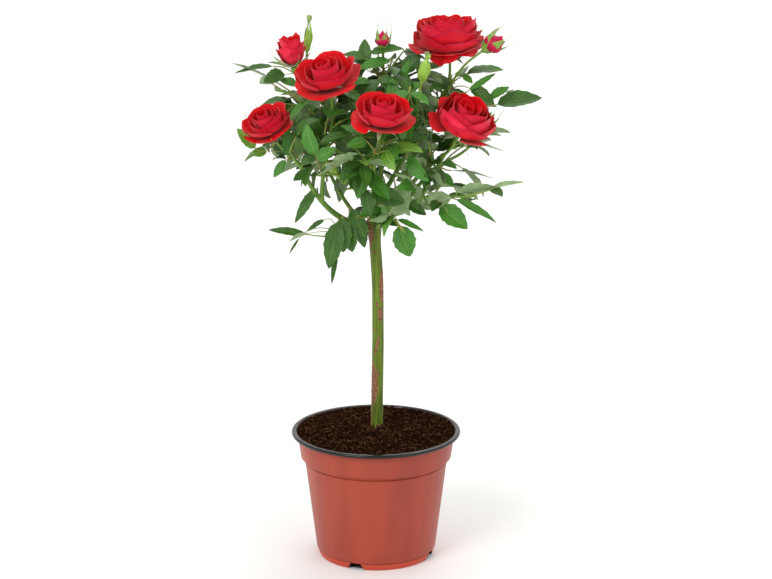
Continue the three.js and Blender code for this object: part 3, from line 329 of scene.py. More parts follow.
# Clear ways through the crown, where the photo shows sky. Each passes the plane y = 0 at
# this x and z and falls towards the back; its radius and the y that it ends at follow.
OPENING_SLOPE = -0.22
OPENING_FRONT = -95
OPENINGS = (
    (-58, 276, 10, 95),
    (-44, 275, 8, 95),
    (-75, 288, 10, 95),
    (-73, 269, 9, 95),
    (-79, 304, 8, 95),
    (-48, 297, 4, -24),
    (-38, 284, 4, -22),
    (-30, 274, 4, -18),
    (56, 313, 7, 95),
    (80, 310, 10, 95),
    (94, 310, 7, 95),
    (65, 297, 5, 95),
    (69, 314, 5, 95),
    (58, 300, 4, 95),
    (30, 270, 5, 95),
    (-52, 248, 7, 95),
    (-44, 248, 4, 95),
    (56, 266, 10, 95),
    (42, 252, 10, 95),
    (53, 249, 7, 95),
    (-19, 283, 4, 95),
    (9, 295, 3, 95),
)

# Leaves that show singly: the shoot and how far up it, to 1 on the bough and on to 2 on its
# stem; the foot and the tip of the blade; its width against its length; how far its face is
# tipped from up to the front in degrees; and its tint
SHOWN_LEAVES = (
    ("top_right", 1.8, (67, -8, 377), (91, -4, 380), 0.4, 14, 0),
    ("top_right", 1.7, (69, -12, 365), (89, -6, 378), 0.22, 50, 1),
    ("top_right", 1.75, (64, -8, 376), (72, -12, 371), 0.6, 40, 1),
    ("top_right", 1.6, (70, -10, 366), (88, -16, 356), 0.5, 45, 0),
    ("top_right", 1.55, (85, -8, 359), (99, -6, 367), 0.5, 40, 1),
    ("top_right", 1.5, (90, -4, 353), (124.6, 4, 358.9), 0.42, 40, 0),
    ("right", 1.8, (71, -36, 331), (96, -30, 323), 0.4, 0, 0),
    ("right", 1.4, (56, -28, 308), (88, -20, 306), 0.3, -8, 1),
    ("right", 1.2, (48, -28, 306), (58, -32, 297), 0.5, 50, 1),
    ("right", 1.5, (49, -32, 315), (60, -36, 312), 0.6, 30, 1),
    ("right_low", 1.7, (61, -34, 293), (91, -30, 298), 0.52, -45, 1),
    ("right_low", 1.85, (84, -34, 295), (109, -28, 302), 0.3, -30, 0),
    ("right_low", 1.3, (39, -32, 284), (56, -36, 291), 0.82, -60, 1),
    ("right_low", 1.45, (47, -36, 282), (68, -44, 268), 0.62, 60, 1),
    ("right_low", 1.6, (59, -36, 288), (90, -38, 272), 0.26, 30, 1),
    ("top_left", 1.6, (-76, 0, 381), (-106, 2, 378), 0.3, 20, 0),
    ("top_left", 1.5, (-80, -2, 373), (-106, 4, 385), 0.3, -10, 0),
    ("top_left", 1.55, (-67, -6, 376), (-83, -10, 371), 0.72, 50, 0),
    ("top_left", 1.5, (-58, -8, 368), (-71, -8, 373), 0.6, 40, 1),
    ("top_left", 1.7, (-67, -4, 382), (-80, 2, 385), 0.3, 0, 1),
    ("left_fork", 1.7, (-63, -20, 364), (-74, -22, 367), 0.4, 20, 2),
    ("left", 1.5, (-80, -28, 322), (-91, -30, 320), 0.8, 40, 2),
    ("left", 1.9, (-88, -34, 326), (-101, -34, 341), 0.5, 60, 2),
    ("left", 1.3, (-65, -26, 319), (-64, -26, 340), 0.4, 60, 1),
    ("left", 1.1, (-66, -24, 315), (-76, -24, 302), 0.45, 50, 1),
    ("left", 1.0, (-50, -22, 306), (-61, -26, 300), 0.6, 50, 0),
    ("left", 0.75, (-44, -16, 292), (-61, -22, 267), 0.27, 50, 0),
    ("low_left", 1.3, (-28, -26, 269), (-35, -32, 234), 0.42, 75, 0),
    ("low_left", 1.2, (-22, -22, 266), (-17, -28, 246), 0.6, 60, 0),
    ("low_left", 0.9, (-18, -20, 277), (-7, -24, 255), 0.5, 60, 0),
    ("low_left", 1.0, (-25, -24, 271), (-24, -30, 246), 0.55, 70, 0),
    ("low_left", 0.8, (-13, -18, 268), (-8, -20, 247), 0.45, 70, 0),
    ("low_left", 1.9, (-29, -26, 247), (-33, -28, 221), 0.16, 70, 0),
    ("low_left", 1.7, (-38, -24, 270), (-52, -24, 261), 0.34, 30, 0),
    ("low_left", 1.6, (-52, -24, 259), (-80, -24, 264), 0.26, 40, 0),
    ("low_left", 1.5, (-50, -26, 260), (-65, -26, 256), 0.6, -30, 0),
    ("low_left", 1.4, (-57, -25, 256), (-65, -25, 244), 0.14, 60, 0),
    ("low_front", 1.4, (17, -34, 268), (26, -34, 243.3), 0.66, 75, 1),
    ("low_front", 0.8, (-12, -26, 274), (9, -32, 280), 0.5, 35, 1),
    ("low_front", 1.0, (-3, -30, 272), (20, -36, 270), 0.4, 30, 1),
    ("low_front", 1.6, (16, -36, 273), (36, -42, 266), 0.28, 30, 1),
    ("low_front", 1.2, (22, -28, 284), (38, -32, 276), 0.5, 50, 0),
    ("top", 1.85, (-8, -6, 384), (-8, -2, 402), 0.56, 60, 0),
    ("top", 1.9, (-4, -6, 392), (21, -12, 396), 0.5, 30, 0),
    ("top", 1.8, (-8, -8, 388), (-24, -6, 392), 0.5, 40, 0),
    ("top", 1.7, (21, -8, 378), (33, -6, 391), 0.75, 45, 0),
    ("top", 1.75, (-7, -6, 382), (-18, 0, 389), 0.6, 40, 0),
    ("top", 1.8, (11, -10, 386), (-14, -16, 384), 0.42, 30, 1),
)
SHOWN_STALK = 0.5

# A leaflet: rows along it and columns across, whose last is the underside; its outline and
# teeth; and its fold, droop, twist and waves, which each differ a little from leaf to leaf
LEAFLET_ROWS = 11
LEAFLET_ACROSS = (-1, -0.5, 0, 0.5, 1, 0)
LEAFLET_RUN = (0.012, 0.985)
LEAFLET_SHOULDER = 0.66
LEAFLET_POINT = 0.96
LEAFLET_ENDS = (0.06, 0.03)
LEAFLET_ARCH = 0.05
TOOTH = 0.07
TOOTH_OUT = 0.028
EDGE_WAVE = 0.07
EDGE_WAVES = 9
UNDER_DEPTH = 0.32
UNDER_LEAST = 0.1
LEAST_BEND = 1e-3
LENGTH_LEAST = 0.92
LENGTH_SPREAD = 0.16
END_WIDTH = 0.4
PAIR_WIDTH = 0.48
WIDTH_SPREAD = 0.12
PAIR_SPREAD = 0.3
DROOP_LEAST = 0.15
DROOP_SPREAD = 0.85
SHOWN_DROOP = 0.35
FOLD_LEAST = 0.12
FOLD_SPREAD = 0.4
TWIST_SPREAD = 0.9
HANG = 0.7
TURNED_HANG = 2.86
TURNED_SHARE = 0.12
OUTLINE_SIZE = 1.18
STALK_RADII = (0.75, 0.62, 0.56, 0.52, 0.48, 0.42, 0.34)
STALK_MOST = 1.1
STALK_INTO_LEAFLET = 0.2

# Tints of leaves, and the steps that set a leaflet's chances apart
YOUNG_SHARE = 0.09
YOUNG_FROM = 250
YOUNG_RISE = 150
DEEP_FROM = 0.62
DEEP_OUTER = 0.25
TINT_STEP = 11
PAIR_STEP = 20
HANG_STEP = 30
LEAFLET_STEP = 40
TURNED_STEP = 60

# Petals: how finely they are made, and the waves across them, each by its share, its turns
# and the power of v that keeps it to the rim
PETAL_ROWS = 10
PETAL_COLUMNS = 12
PETAL_SEED = 100
PETAL_THICK = 0.45
PETAL_RIM_THICK = 0.18
PETAL_TIP_WIDTH = 0.42
PETAL_WAVES = ((1, 3.1, 2), (0.8, 7, 3), (0.3, 13, 5))
THIN_UNDER = 12

# Bark: rings and sides, ridges as shares of the radius, and raised rough cork
TRUNK_STRETCHES = 8
TRUNK_RINGS = 220
TRUNK_SIDES = 48
TRUNK_RIDGE = 0.02
TRUNK_SEED = 5
CORK_HEIGHT = 0.14
CORK_ROUGHNESS = 0.34
BARK_REACH = 4
BOUGH_RINGS = 14
BOUGH_SIDES = 12
BOUGH_RIDGE = 0.05
BOUGH_SEED = 20
BOUGH_FLARE = 0.55
STEM_RINGS = 22
STEM_SIDES = 9
STEM_RIDGE = 0.04
STEM_SEED = 50
STEM_POINT = (0.9, 0.7, 0.25)
FLOWER_TWIG_RADIUS = 0.9
TWIG_RINGS = 9
TWIG_RADII = (0.95, 0.55)

# Prickles: at each step how far out and back it has come and its radius, against its length
PRICKLES = 190
PRICKLE_SEED = 12
PRICKLE_LENGTH = (1.2, 2.4)
PRICKLE_USUAL = 1.8
PRICKLE_ROOT = 0.7
PRICKLE_PROFILE = ((0, 0, 0.55), (0.45, 0.02, 0.32), (0.8, 0.12, 0.16), (1, 0.3, 0.04))

# Finishes: wax, plant fibre and polypropylene all bend light by about as much. A leaflet has
# this many side veins, drawn aslant, and half its midrib is this share of its width.
IOR = 1.45
LEAF_VEINS = 6
VEIN_SLANT = 0.7
MIDRIB_HALF = 0.05

# Lights: a large soft one on each side, one above and behind, and an even surround
LIGHTS = (
    ("key", (-1.5, -2.2, 2.1), 1.3, 40, (0, 0, 0.25)),
    ("fill", (2.0, -1.8, 1.2), 1.8, 12, (0, 0, 0.25)),
    ("back", (0.4, 1.4, 2.2), 1.6, 16, (0, 0, 0.3)),
)
WORLD_STRENGTH = 0.85

# Floor, in metres: how wide it is, where it starts, where it bends up and how high it goes
FLOOR_HALF = 6
FLOOR_FRONT = -4
FLOOR_BACK = 1.6
FLOOR_BEND = 1.2
FLOOR_TOP = 5


# Numbers and vectors

def chance(seed, step):
    """A fixed number from 0 to 1 for each pair of whole numbers"""
    wave = math.sin(seed * 12.9898 + step * 78.233) * 43758.5453
    return wave - math.floor(wave)


def unit(vectors):
    vectors = np.asarray(vectors, float)
    return vectors / np.linalg.norm(vectors, axis=-1, keepdims=True)


def smoothstep(x, low, high):
    part = np.clip((np.asarray(x, float) - low) / (high - low), 0, 1)
    return part * part * (3 - 2 * part)


def turned(vector, axis, angle):
    """A vector turned about a unit axis: the parts along it, across it and square to both"""
    cos, sin = math.cos(angle), math.sin(angle)
    return vector * cos + np.cross(axis, vector) * sin + axis * (axis @ vector) * (1 - cos)


def noise(points, size, seed=0):
    """Smooth noise from -1 to 1: a fixed random value at every corner of cubes of the given
    size, blended across each cube by an S-shaped share of the way"""
    places = np.asarray(points, float) / size
    cell = np.floor(places)
    part = places - cell
    part = part * part * (3 - 2 * part)
    total = 0
    for corner in np.ndindex(2, 2, 2):
        wave = np.sin((cell + corner) @ np.array((127.1, 311.7, 74.7)) + seed * 19.19) * 43758.5453
        share = np.prod(np.where(np.array(corner) == 1, part, 1 - part), axis=-1)
        total = total + (2 * (wave - np.floor(wave)) - 1) * share
    return total


# Curves: each is a function of t from 0 to 1, alone or as an array

def bezier(*corners):
    """A Bezier curve: the corners are blended in pairs until one point is left"""
    def at(t):
        t = np.asarray(t, float)[..., None]
        level = [np.asarray(corner, float) for corner in corners]
        while len(level) > 1:
            level = [a + (b - a) * t for a, b in zip(level, level[1:])]
        return level[0]
    return at


def stepped(curve, steps):
    """A curve as the straight stretches that the model's limb has"""
    corners = curve(np.linspace(0, 1, steps + 1))

    def at(t):
        run = np.clip(np.asarray(t, float), 0, 1) * steps
        step = np.minimum(np.floor(run).astype(int), steps - 1)
        return corners[step] + (corners[step + 1] - corners[step]) * (run - step)[..., None]
    return at


def tangent(curve, t):
    step = 1e-4
    t = np.asarray(t, float)
    return unit(curve(np.minimum(t + step, 1)) - curve(np.maximum(t - step, 0)))


def length(curve):
    return np.linalg.norm(np.diff(curve(np.linspace(0, 1, LENGTH_POINTS)), axis=0), axis=1).sum()


def trunk_curve(t):
    """The trunk's lean: a centripetal Catmull-Rom curve through its named points, whose
    knots lie the square root of the distance apart"""
    points = np.array(TRUNK_LEAN)
    points = np.vstack((2 * points[0] - points[1], points, 2 * points[-1] - points[-2]))
    run = np.asarray(t, float) * (len(TRUNK_LEAN) - 1)
    step = np.clip(np.floor(run).astype(int), 0, len(TRUNK_LEAN) - 2)
    part = (run - step)[..., None]
    knots = np.sqrt(np.linalg.norm(np.diff(points, axis=0), axis=1))
    a, b, c, d = (points[step + i] for i in range(4))
    before, here, after = (knots[step + i][..., None] for i in range(3))
    leaving = ((b - a) / before - (c - a) / (before + here) + (c - b) / here) * here
    arriving = ((c - b) / here - (d - b) / (here + after) + (d - c) / after) * here
    return (b + leaving * part + (-3 * b + 3 * c - 2 * leaving - arriving) * part ** 2
            + (2 * b - 2 * c + leaving + arriving) * part ** 3)


def trunk_point(z):
    """The point of the trunk's middle line at a height"""
    t = 0.5
    for _ in range(30):
        t = min(max(t + (z - trunk_curve(t)[2]) / (TRUNK_TOP_Z - TRUNK_FOOT_Z), 0), 1)
    return trunk_curve(t)


def trunk_radius(z, t):
    shaft = TRUNK_FOOT_RADIUS + (TRUNK_TOP_RADIUS - TRUNK_FOOT_RADIUS) * t
    flare = FLARE * np.exp(-(z - TRUNK_FOOT_Z) / FLARE_HEIGHT)
    graft = GRAFT_SWELL * np.exp(-((z - GRAFT_Z) / GRAFT_HALF_HEIGHT) ** 2)
    narrowing = smoothstep(z, TRUNK_TOP_Z - TOP_CUT_HEIGHT, TRUNK_TOP_Z)
    return (shaft + flare + graft) * (1 - (1 - TOP_CUT) * narrowing)


def stem_curve(start, leaving, end, arriving):
    reach = np.linalg.norm(end - start) * STEM_REACH
    return bezier(start, start + leaving * reach, end - arriving * reach, end)


# Shoots: the curve of each bough, of its stem, and of each side twig that bears a flower.
# The stepped curves are the model's, and the smooth ones are what is drawn.

def flower_foot(flower):
    face = unit(flower["face"])
    depth = FLOWER_DEPTH[flower["kind"]] * flower["width"]
    return face, np.array(flower["middle"]) - face * depth


def plan_shoots():
    shoots = {}
    for number, entry in enumerate(SHOOTS):
        shoot = dict(entry, number=number)
        parent = shoots.get(entry["parent"])
        start = parent["bough"](entry["at"]) if parent else trunk_point(entry["at"])
        way = np.array(entry["tip"]) - start
        outward = ELBOW + ELBOW_OUT * entry["bend"]
        upward = ELBOW - ELBOW_UP * entry["bend"]
        shoot["bough_line"] = bezier(start, start + way * (outward, outward, upward), entry["tip"])
        shoot["bough"] = stepped(shoot["bough_line"], BOUGH_STEPS)
        leaving = tangent(shoot["bough"], 1)
        root = np.array(entry["tip"]) + leaving * END_GAP
        own = [f for f in FLOWERS if f["shoot"] == entry["name"]]
        bearing = [f for f in own if f["at"] is None]
        if bearing:
            arriving, foot = flower_foot(bearing[0])
            end = foot - arriving * (STALK_LENGTH + END_GAP)
        else:
            end = np.array(entry["head"])
            arriving = unit(end - root)
        shoot["stem_line"] = stem_curve(root, leaving, end, arriving)
        shoot["stem"] = stepped(shoot["stem_line"], STEM_STEPS)
        shoot["twigs"] = {}
        for flower in own:
            if flower["at"] is not None:
                face, foot = flower_foot(flower)
                point = shoot["stem"](flower["at"])
                to = foot - face * (STALK_LENGTH + END_GAP)
                shoot["twigs"][flower["name"]] = stem_curve(point, unit(to - point), to, face)
        shoots[entry["name"]] = shoot
    return shoots


SHOOT_MAP = plan_shoots()


def stretches(curve, steps):
    points = curve(np.linspace(0, 1, steps + 1))
    return np.stack((points[:-1], points[1:]), axis=1)


def step_radii(base, end):
    """The larger radius of each stretch of a tapering bough"""
    radii = base + (end - base) * np.linspace(0, 1, BOUGH_STEPS + 1)
    return np.maximum(radii[:-1], radii[1:])


# The space that leaves may use

STEM_SETS = [
    np.vstack([stretches(curve, STEM_STEPS) for curve in (shoot["stem"], *shoot["twigs"].values())])
    for shoot in SHOOT_MAP.values()
]
STEM_ROWS = np.vstack(STEM_SETS)
STEM_FIRST = np.cumsum([0] + [len(rows) for rows in STEM_SETS[:-1]])
LIMB_ROWS = np.vstack([stretches(trunk_curve, TRUNK_STRETCHES)]
                      + [stretches(shoot["bough"], BOUGH_STEPS) for shoot in SHOOT_MAP.values()])
LIMB_RADII = np.concatenate([np.full(TRUNK_STRETCHES, TRUNK_FOOT_RADIUS + GRAFT_SWELL)]
                            + [step_radii(shoot["base"], shoot["end"]) for shoot in SHOOT_MAP.values()])
FOOT_ROWS = np.array([(foot - face * STALK_LENGTH, foot) for face, foot in map(flower_foot, FLOWERS)])
OPEN_ROWS = np.array([[(x, y, z + y * OPENING_SLOPE) for y in (OPENING_FRONT, back)]
                      for x, z, _, back in OPENINGS], float)
OPEN_RADII = np.array([radius for _, _, radius, _ in OPENINGS])
BALL_MIDDLES = np.array([f["middle"] for f in FLOWERS], float)
BALL_RADII = np.array([FLOWER_SPREAD[f["kind"]] * f["width"] for f in FLOWERS])


def distances(points, rows):
    """How far each point is from each straight stretch"""
    start = rows[:, 0]
    way = rows[:, 1] - start
    off = points[:, None] - start
    along = np.clip((off * way).sum(-1) / (way * way).sum(-1), 0, 1)
    return np.linalg.norm(off - way * along[..., None], axis=-1)


class Space:
    """Where leaves already are, kept in cells as wide as leaves lie apart"""

    def __init__(self, apart, opened=False):
        self.apart = apart
        self.opened = opened
        self.cells = {}

    def take(self, points):
        for point in points:
            self.cells.setdefault(tuple(np.floor(point / self.apart).astype(int)), []).append(point)

    def is_taken(self, points):
        for point, (x, y, z) in zip(points, np.floor(points / self.apart).astype(int)):
            near = [other for i in (-1, 0, 1) for j in (-1, 0, 1) for k in (-1, 0, 1)
                    for other in self.cells.get((x + i, y + j, z + k), ())]
            if near and (np.linalg.norm(np.array(near) - point, axis=1) < self.apart).any():
                return True
        return False

    def is_free(self, points, shoot, bounded, reach=1.0):
        """Whether a leaf's points are all inside the crown and the shoot's share of it, and
        clear of trunk, boughs, other stems, flowers and other leaves"""
        if bounded:
            if ((((points - CROWN_MIDDLE) / CROWN_RADII) ** 2).sum(-1) > reach).any():
                return False
        if (np.linalg.norm(points[:, None] - BALL_MIDDLES, axis=-1) <= BALL_RADII + FLOWER_MARGIN).any():
            return False
        if self.opened and (distances(points, OPEN_ROWS) < OPEN_RADII).any():
            return False
        if (distances(points, LIMB_ROWS) < LIMB_RADII + LIMB_MARGIN).any():
            return False
        if (distances(points, FOOT_ROWS) <= STALK_RADIUS + LIMB_MARGIN).any():
            return False
        to_stems = np.minimum.reduceat(distances(points, STEM_ROWS), STEM_FIRST, axis=1)
        own = to_stems[:, shoot["number"]].copy()
        to_stems[:, shoot["number"]] = np.inf
        other = to_stems.min(axis=1)
        if (other < STEM_TIP_RADIUS + LIMB_MARGIN).any():
            return False
        if bounded and (own > other + SPACE_SHARE).any():
            return False
        return not self.is_taken(points)


class Leaf:
    """A compound leaf: its stalk, the frame at the stalk's end, and its leaflets. In its plan
    y runs along the stalk and on past its end, and x runs across. A leaf that is shown singly
    also has its leaflet's width and its tint."""

    def __init__(self, stalk, face, scale, pairs, make, end=None):
        self.stalk = stalk
        self.reach = length(stalk)
        self.end = self.reach if end is None else end
        self.scale = scale
        self.face = face
        self.shown = None
        self.forward = tangent(stalk, 1)
        self.side = unit(np.cross(self.forward, face))
        whole = scale * make["leaflet"]
        self.leaflets = [dict(y=self.end, hand=0, size=whole)]
        for back, share in zip(make["back"][:pairs], make["size"]):
            y = self.end - back * scale
            if y > LEAST_STALK:
                self.leaflets += [dict(y=y, hand=hand, size=whole * share) for hand in (1, -1)]
        for leaflet in self.leaflets:
            leaflet["points"] = self.blade(leaflet, make["width"])

    def place(self, x, y):
        """The point of the crown for a point of the plan, and the way that is up there"""
        t = np.minimum(y / self.reach, 1)
        up = unit(np.cross(self.side, tangent(self.stalk, t)))
        past = np.maximum(y - self.reach, 0)
        return self.stalk(t) + self.forward * past[..., None] + self.side * np.asarray(x)[..., None], up

    def blade(self, leaflet, width):
        run, across = BLADE_POINTS.T
        half = leaflet["size"] * width / 2
        hand = leaflet["hand"]
        run = run * leaflet["size"]
        if hand == 0:
            return self.place(across * half, leaflet["y"] + run)[0]
        out, on = math.sin(PAIR_ANGLE), math.cos(PAIR_ANGLE)
        return self.place(hand * (out * run + on * across * half),
                          leaflet["y"] + on * run - out * across * half)[0]


def curve_points(curve):
    """Points along a stalk or twig, past the stretch that is close to its own limb"""
    whole = length(curve)
    steps = max(math.ceil((whole - FREE_FROM) / SAMPLE_STEP), 1)
    start = min(FREE_FROM / whole, 0.9)
    return curve(start + (1 - start) * np.arange(steps + 1) / steps)


def fit_leaf(space, shoot, stalk, face, scale, pairs, bounded, make):
    """A leaf with the leaflets that fit, or None where its stalk or last leaflet doesn't"""
    if not space.is_free(curve_points(stalk), shoot, bounded, make["reach"]):
        return None
    leaf = Leaf(stalk, face, scale, pairs, make)
    if not space.is_free(leaf.leaflets[0]["points"], shoot, bounded, make["reach"]):
        return None
    leaf.leaflets = leaf.leaflets[:1] + [
        one for one in leaf.leaflets[1:] if space.is_free(one["points"], shoot, bounded, make["reach"])]
    return leaf if len(leaf.leaflets) > 1 or not bounded else None


def take_leaf(space, leaf):
    for leaflet in leaf.leaflets:
        space.take(leaflet["points"])
    space.take(curve_points(leaf.stalk))


def sideways(along):
    return unit(np.cross(along, TURNS_FROM))


def leaf_face(along, point, turn, make):
    """The way that a leaf's upper face looks: up, some way outward, and turned by chance"""
    face = np.array((0, 0, 1)) + unit(point - CROWN_MIDDLE) * make["outward"]
    face = unit(face - along * (face @ along))
    return turned(face, along, (turn - 0.5) * FACE_TURN)


def free_leaf(space, shoot, curve, at, turn, seed, make):
    """A leaf that leaves its limb sideways, arches and droops. Of a few ways round the limb,
    the first that keeps the most leaflets is taken."""
    point = curve(at)
    along = tangent(curve, at)
    across = sideways(along)
    scale = SCALE_LEAST + SCALE_SPREAD * chance(seed, 1)
    pairs = 2 if chance(seed, 4) < SECOND_PAIR_CHANCE or make is FINE_LEAF else 1
    best = None
    for attempt in range(make["tries"]):
        way = unit(turned(across, along, turn + attempt * TRY_TURN) * LEAF_OUT
                   + along * TRY_LEAN[attempt % len(TRY_LEAN)])
        reach = make["stalk"] * scale
        end = point + way * reach + np.array((0, 0, -reach * LEAF_SAG))
        stalk = bezier(point, point + way * reach * LEAF_ELBOW, end)
        face = leaf_face(tangent(stalk, 1), end, chance(seed, 2), make)
        leaf = fit_leaf(space, shoot, stalk, face, scale, pairs, True, make)
        if leaf and (best is None or len(leaf.leaflets) > len(best.leaflets)):
            best = leaf
            if len(leaf.leaflets) == 2 * pairs + 1:
                break
    if best is None:
        return []
    take_leaf(space, best)
    return [best]


def outer_leaf(space, shoot, at, tip, fall, seed):
    """A leaf on the outline, whose last leaflet ends at a named tip"""
    start = shoot["stem"](at)
    tip = np.array(tip, float)
    falling = unit(unit(tip - start) + np.array((0, 0, -fall)))
    best = None
    for scale in OUTER_SCALES:
        end = tip - falling * SOURCE_LEAF["leaflet"] * scale
        stalk = bezier(start, end - falling * np.linalg.norm(end - start) * OUTER_ELBOW, end)
        for turn in OUTER_TURNS:
            face = leaf_face(falling, end, chance(seed, 2) + turn, SOURCE_LEAF)
            leaf = fit_leaf(space, shoot, stalk, face, scale, OUTER_PAIRS, False, SOURCE_LEAF)
            if leaf and (best is None or len(leaf.leaflets) > len(best.leaflets)):
                best = leaf
    if best is None:
        return []
    take_leaf(space, best)
    return [best]


def side_twig(space, shoot, at, turn, seed, make):
    """A side twig and its leaves, left out whole where it isn't free or bears none"""
    point = shoot["stem"](at)
    along = tangent(shoot["stem"], at)
    across = sideways(along)
    least, most = make["twig"]
    for attempt in range(make["tries"]):
        way = unit(turned(across, along, turn + attempt * TRY_TURN) + along * TWIG_FORWARD)
        reach = least + (most - least) * chance(seed, 3)
        end = point + way * reach + np.array((0, 0, reach * TWIG_RISE))
        line = stem_curve(point, way, end, unit(end - point))
        twig = stepped(line, TWIG_STEPS)
        if not space.is_free(curve_points(twig), shoot, True, make["reach"]):
            continue
        leaves = []
        for i, t in enumerate(TWIG_LEAVES):
            leaves += free_leaf(space, shoot, twig, t, turn + i * GOLDEN_ANGLE, seed + TWIG_SEEDS[i], make)
        if leaves:
            space.take(curve_points(twig))
            return [line], leaves
    return [], []


def grow():
    """The source's rule, stem by stem and node by node: the leaves and side twigs of all masses"""
    space = Space(SOURCE_LEAF["apart"])
    leaves, twigs = [], []
    for i, (name, at, tip, fall) in enumerate(OUTER_LEAVES):
        shoot = SHOOT_MAP[name]
        leaves += [(leaf, shoot) for leaf in outer_leaf(space, shoot, at, tip, fall, OUTER_SEED + i)]
    for node in range(MOST_NODES):
        for shoot in SHOOT_MAP.values():
            at = (FIRST_NODE + node * NODE_SPACING) / length(shoot["stem"])
            if at > 1:
                continue
            seed = shoot["number"] * SHOOT_SEEDS + node
            turn = shoot["number"] + node * GOLDEN_ANGLE
            more = free_leaf(space, shoot, shoot["stem"], at, turn, seed, SOURCE_LEAF)
            if node % TWIG_EVERY == 1:
                lines, on_twig = side_twig(space, shoot, at, turn + math.pi, seed, SOURCE_LEAF)
                twigs += [(line, shoot) for line in lines]
                more += on_twig
            leaves += [(leaf, shoot) for leaf in more]
    return leaves, twigs


def redraw(space, leaf, shoot, seed):
    """A source leaf at its natural size: the last leaflet keeps its tip, the stalk goes on
    to meet it, and the smaller pairs are set along it wherever they are free"""
    tip = leaf.end + SOURCE_LEAF["leaflet"] * leaf.scale
    scale = leaf.scale * (1 + FINE_SPREAD * (chance(seed, 5) - 0.5))
    if seed < len(OUTER_LEAVES):
        scale = leaf.scale * OUTLINE_SIZE
    end = tip - FINE_LEAF["leaflet"] * scale
    pairs = 3 if chance(seed, 6) < THIRD_PAIR_CHANCE else 2
    fine = Leaf(leaf.stalk, leaf.face, scale, pairs, FINE_LEAF, end)
    fine.leaflets = [one for one in fine.leaflets if space.is_free(one["points"], shoot, False)]
    if not fine.leaflets:
        return []
    take_leaf(space, fine)
    return [fine]


def shown_leaf(name, at, foot, tip, wide, tipped, tint):
    """One leaflet on its own stalk, from a shoot to the place where the photo shows it"""
    shoot = SHOOT_MAP[name]
    start = shoot["bough_line"](at) if at < 1 else shoot["stem_line"](at - 1)
    foot, tip = np.array(foot, float), np.array(tip, float)
    long = np.linalg.norm(tip - foot)
    way = unit(tip - foot)
    stalk = bezier(start, foot - way * np.linalg.norm(foot - start) * SHOWN_STALK, foot)
    angle = math.radians(tipped)
    face = np.array((0, -math.sin(angle), math.cos(angle)))
    leaf = Leaf(stalk, unit(face - way * (face @ way)), long / FINE_LEAF["leaflet"], 0, FINE_LEAF)
    leaf.shown = wide, tint
    return leaf


def fill():
    """The rule carried on: every source leaf at its natural size, then more leaves and finer
    twigs between them, on the twigs and twice round the stems"""
    space = Space(FINE_LEAF["apart"], opened=True)
    leaves = [shown_leaf(*row) for row in SHOWN_LEAVES]
    for leaf in leaves:
        take_leaf(space, leaf)
    for i, (leaf, shoot) in enumerate(SOURCE_LEAVES):
        leaves += redraw(space, leaf, shoot, i)
    twigs = [line for line, _ in SOURCE_TWIGS]
    for line in twigs:
        space.take(curve_points(line))
    for i, (line, shoot) in enumerate(SOURCE_TWIGS):
        for j, at in enumerate(FINE_TWIG_PLACES):
            seed = FINE_SEED + FINE_TWIG_SEEDS * i + j
            leaves += free_leaf(space, shoot, line, at, i + j * GOLDEN_ANGLE, seed, FINE_LEAF)
    for step in range(2 * FINE_NODES):
        node, second = step % FINE_NODES, step >= FINE_NODES
        for shoot in SHOOT_MAP.values():
            at = (FINE_FROM + (node + 0.5 * second) * FINE_SPACING) / length(shoot["stem"])
            if at > FINE_LAST or second and shoot["stem"](at)[2] < THICK_ABOVE:
                continue
            seed = FINE_NODE_SEED + SECOND_ROUND * second + shoot["number"] * SHOOT_SEEDS + node
            turn = shoot["number"] + 0.5 + second + node * GOLDEN_ANGLE
            leaves += free_leaf(space, shoot, shoot["stem"], at, turn, seed, FINE_LEAF)
            lines, more = side_twig(space, shoot, at, turn + math.pi, seed, FINE_LEAF)
            twigs += lines
            leaves += more
    return leaves, twigs


SOURCE_LEAVES, SOURCE_TWIGS = grow()
LEAVES, TWIGS = fill()
print("leaves", len(SOURCE_LEAVES), "leaflets", sum(len(leaf.leaflets) for leaf, _ in SOURCE_LEAVES),
      "drawn", len(LEAVES), sum(len(leaf.leaflets) for leaf in LEAVES), "twigs", len(TWIGS))


# Surfaces: arrays of points with the faces between them

def grid_faces(rows, columns, closed=True):
    """Four-cornered faces between rows of points, row by row; a closed row meets its start"""
    row = np.arange(rows - 1)[:, None] * columns
    column = np.arange(columns if closed else columns - 1)[None]
    after = (column + 1) % columns
    corners = row + column, row + after, row + columns + after, row + columns + column
    return np.stack(corners, -1).reshape(-1, 4)


def end_faces(rows, columns):
    """The two faces that close the first and the last row"""
    row = np.arange(columns)[None]
    return [row[:, ::-1], row + (rows - 1) * columns]


def even_angles(count):
    return np.arange(count) * 2 * math.pi / count


def surface_map(across, along):
    """The map's places for a grid of points, row by row: across first, then along"""
    return np.stack(np.broadcast_arrays(across[None], along[:, None]), -1).reshape(-1, 2)


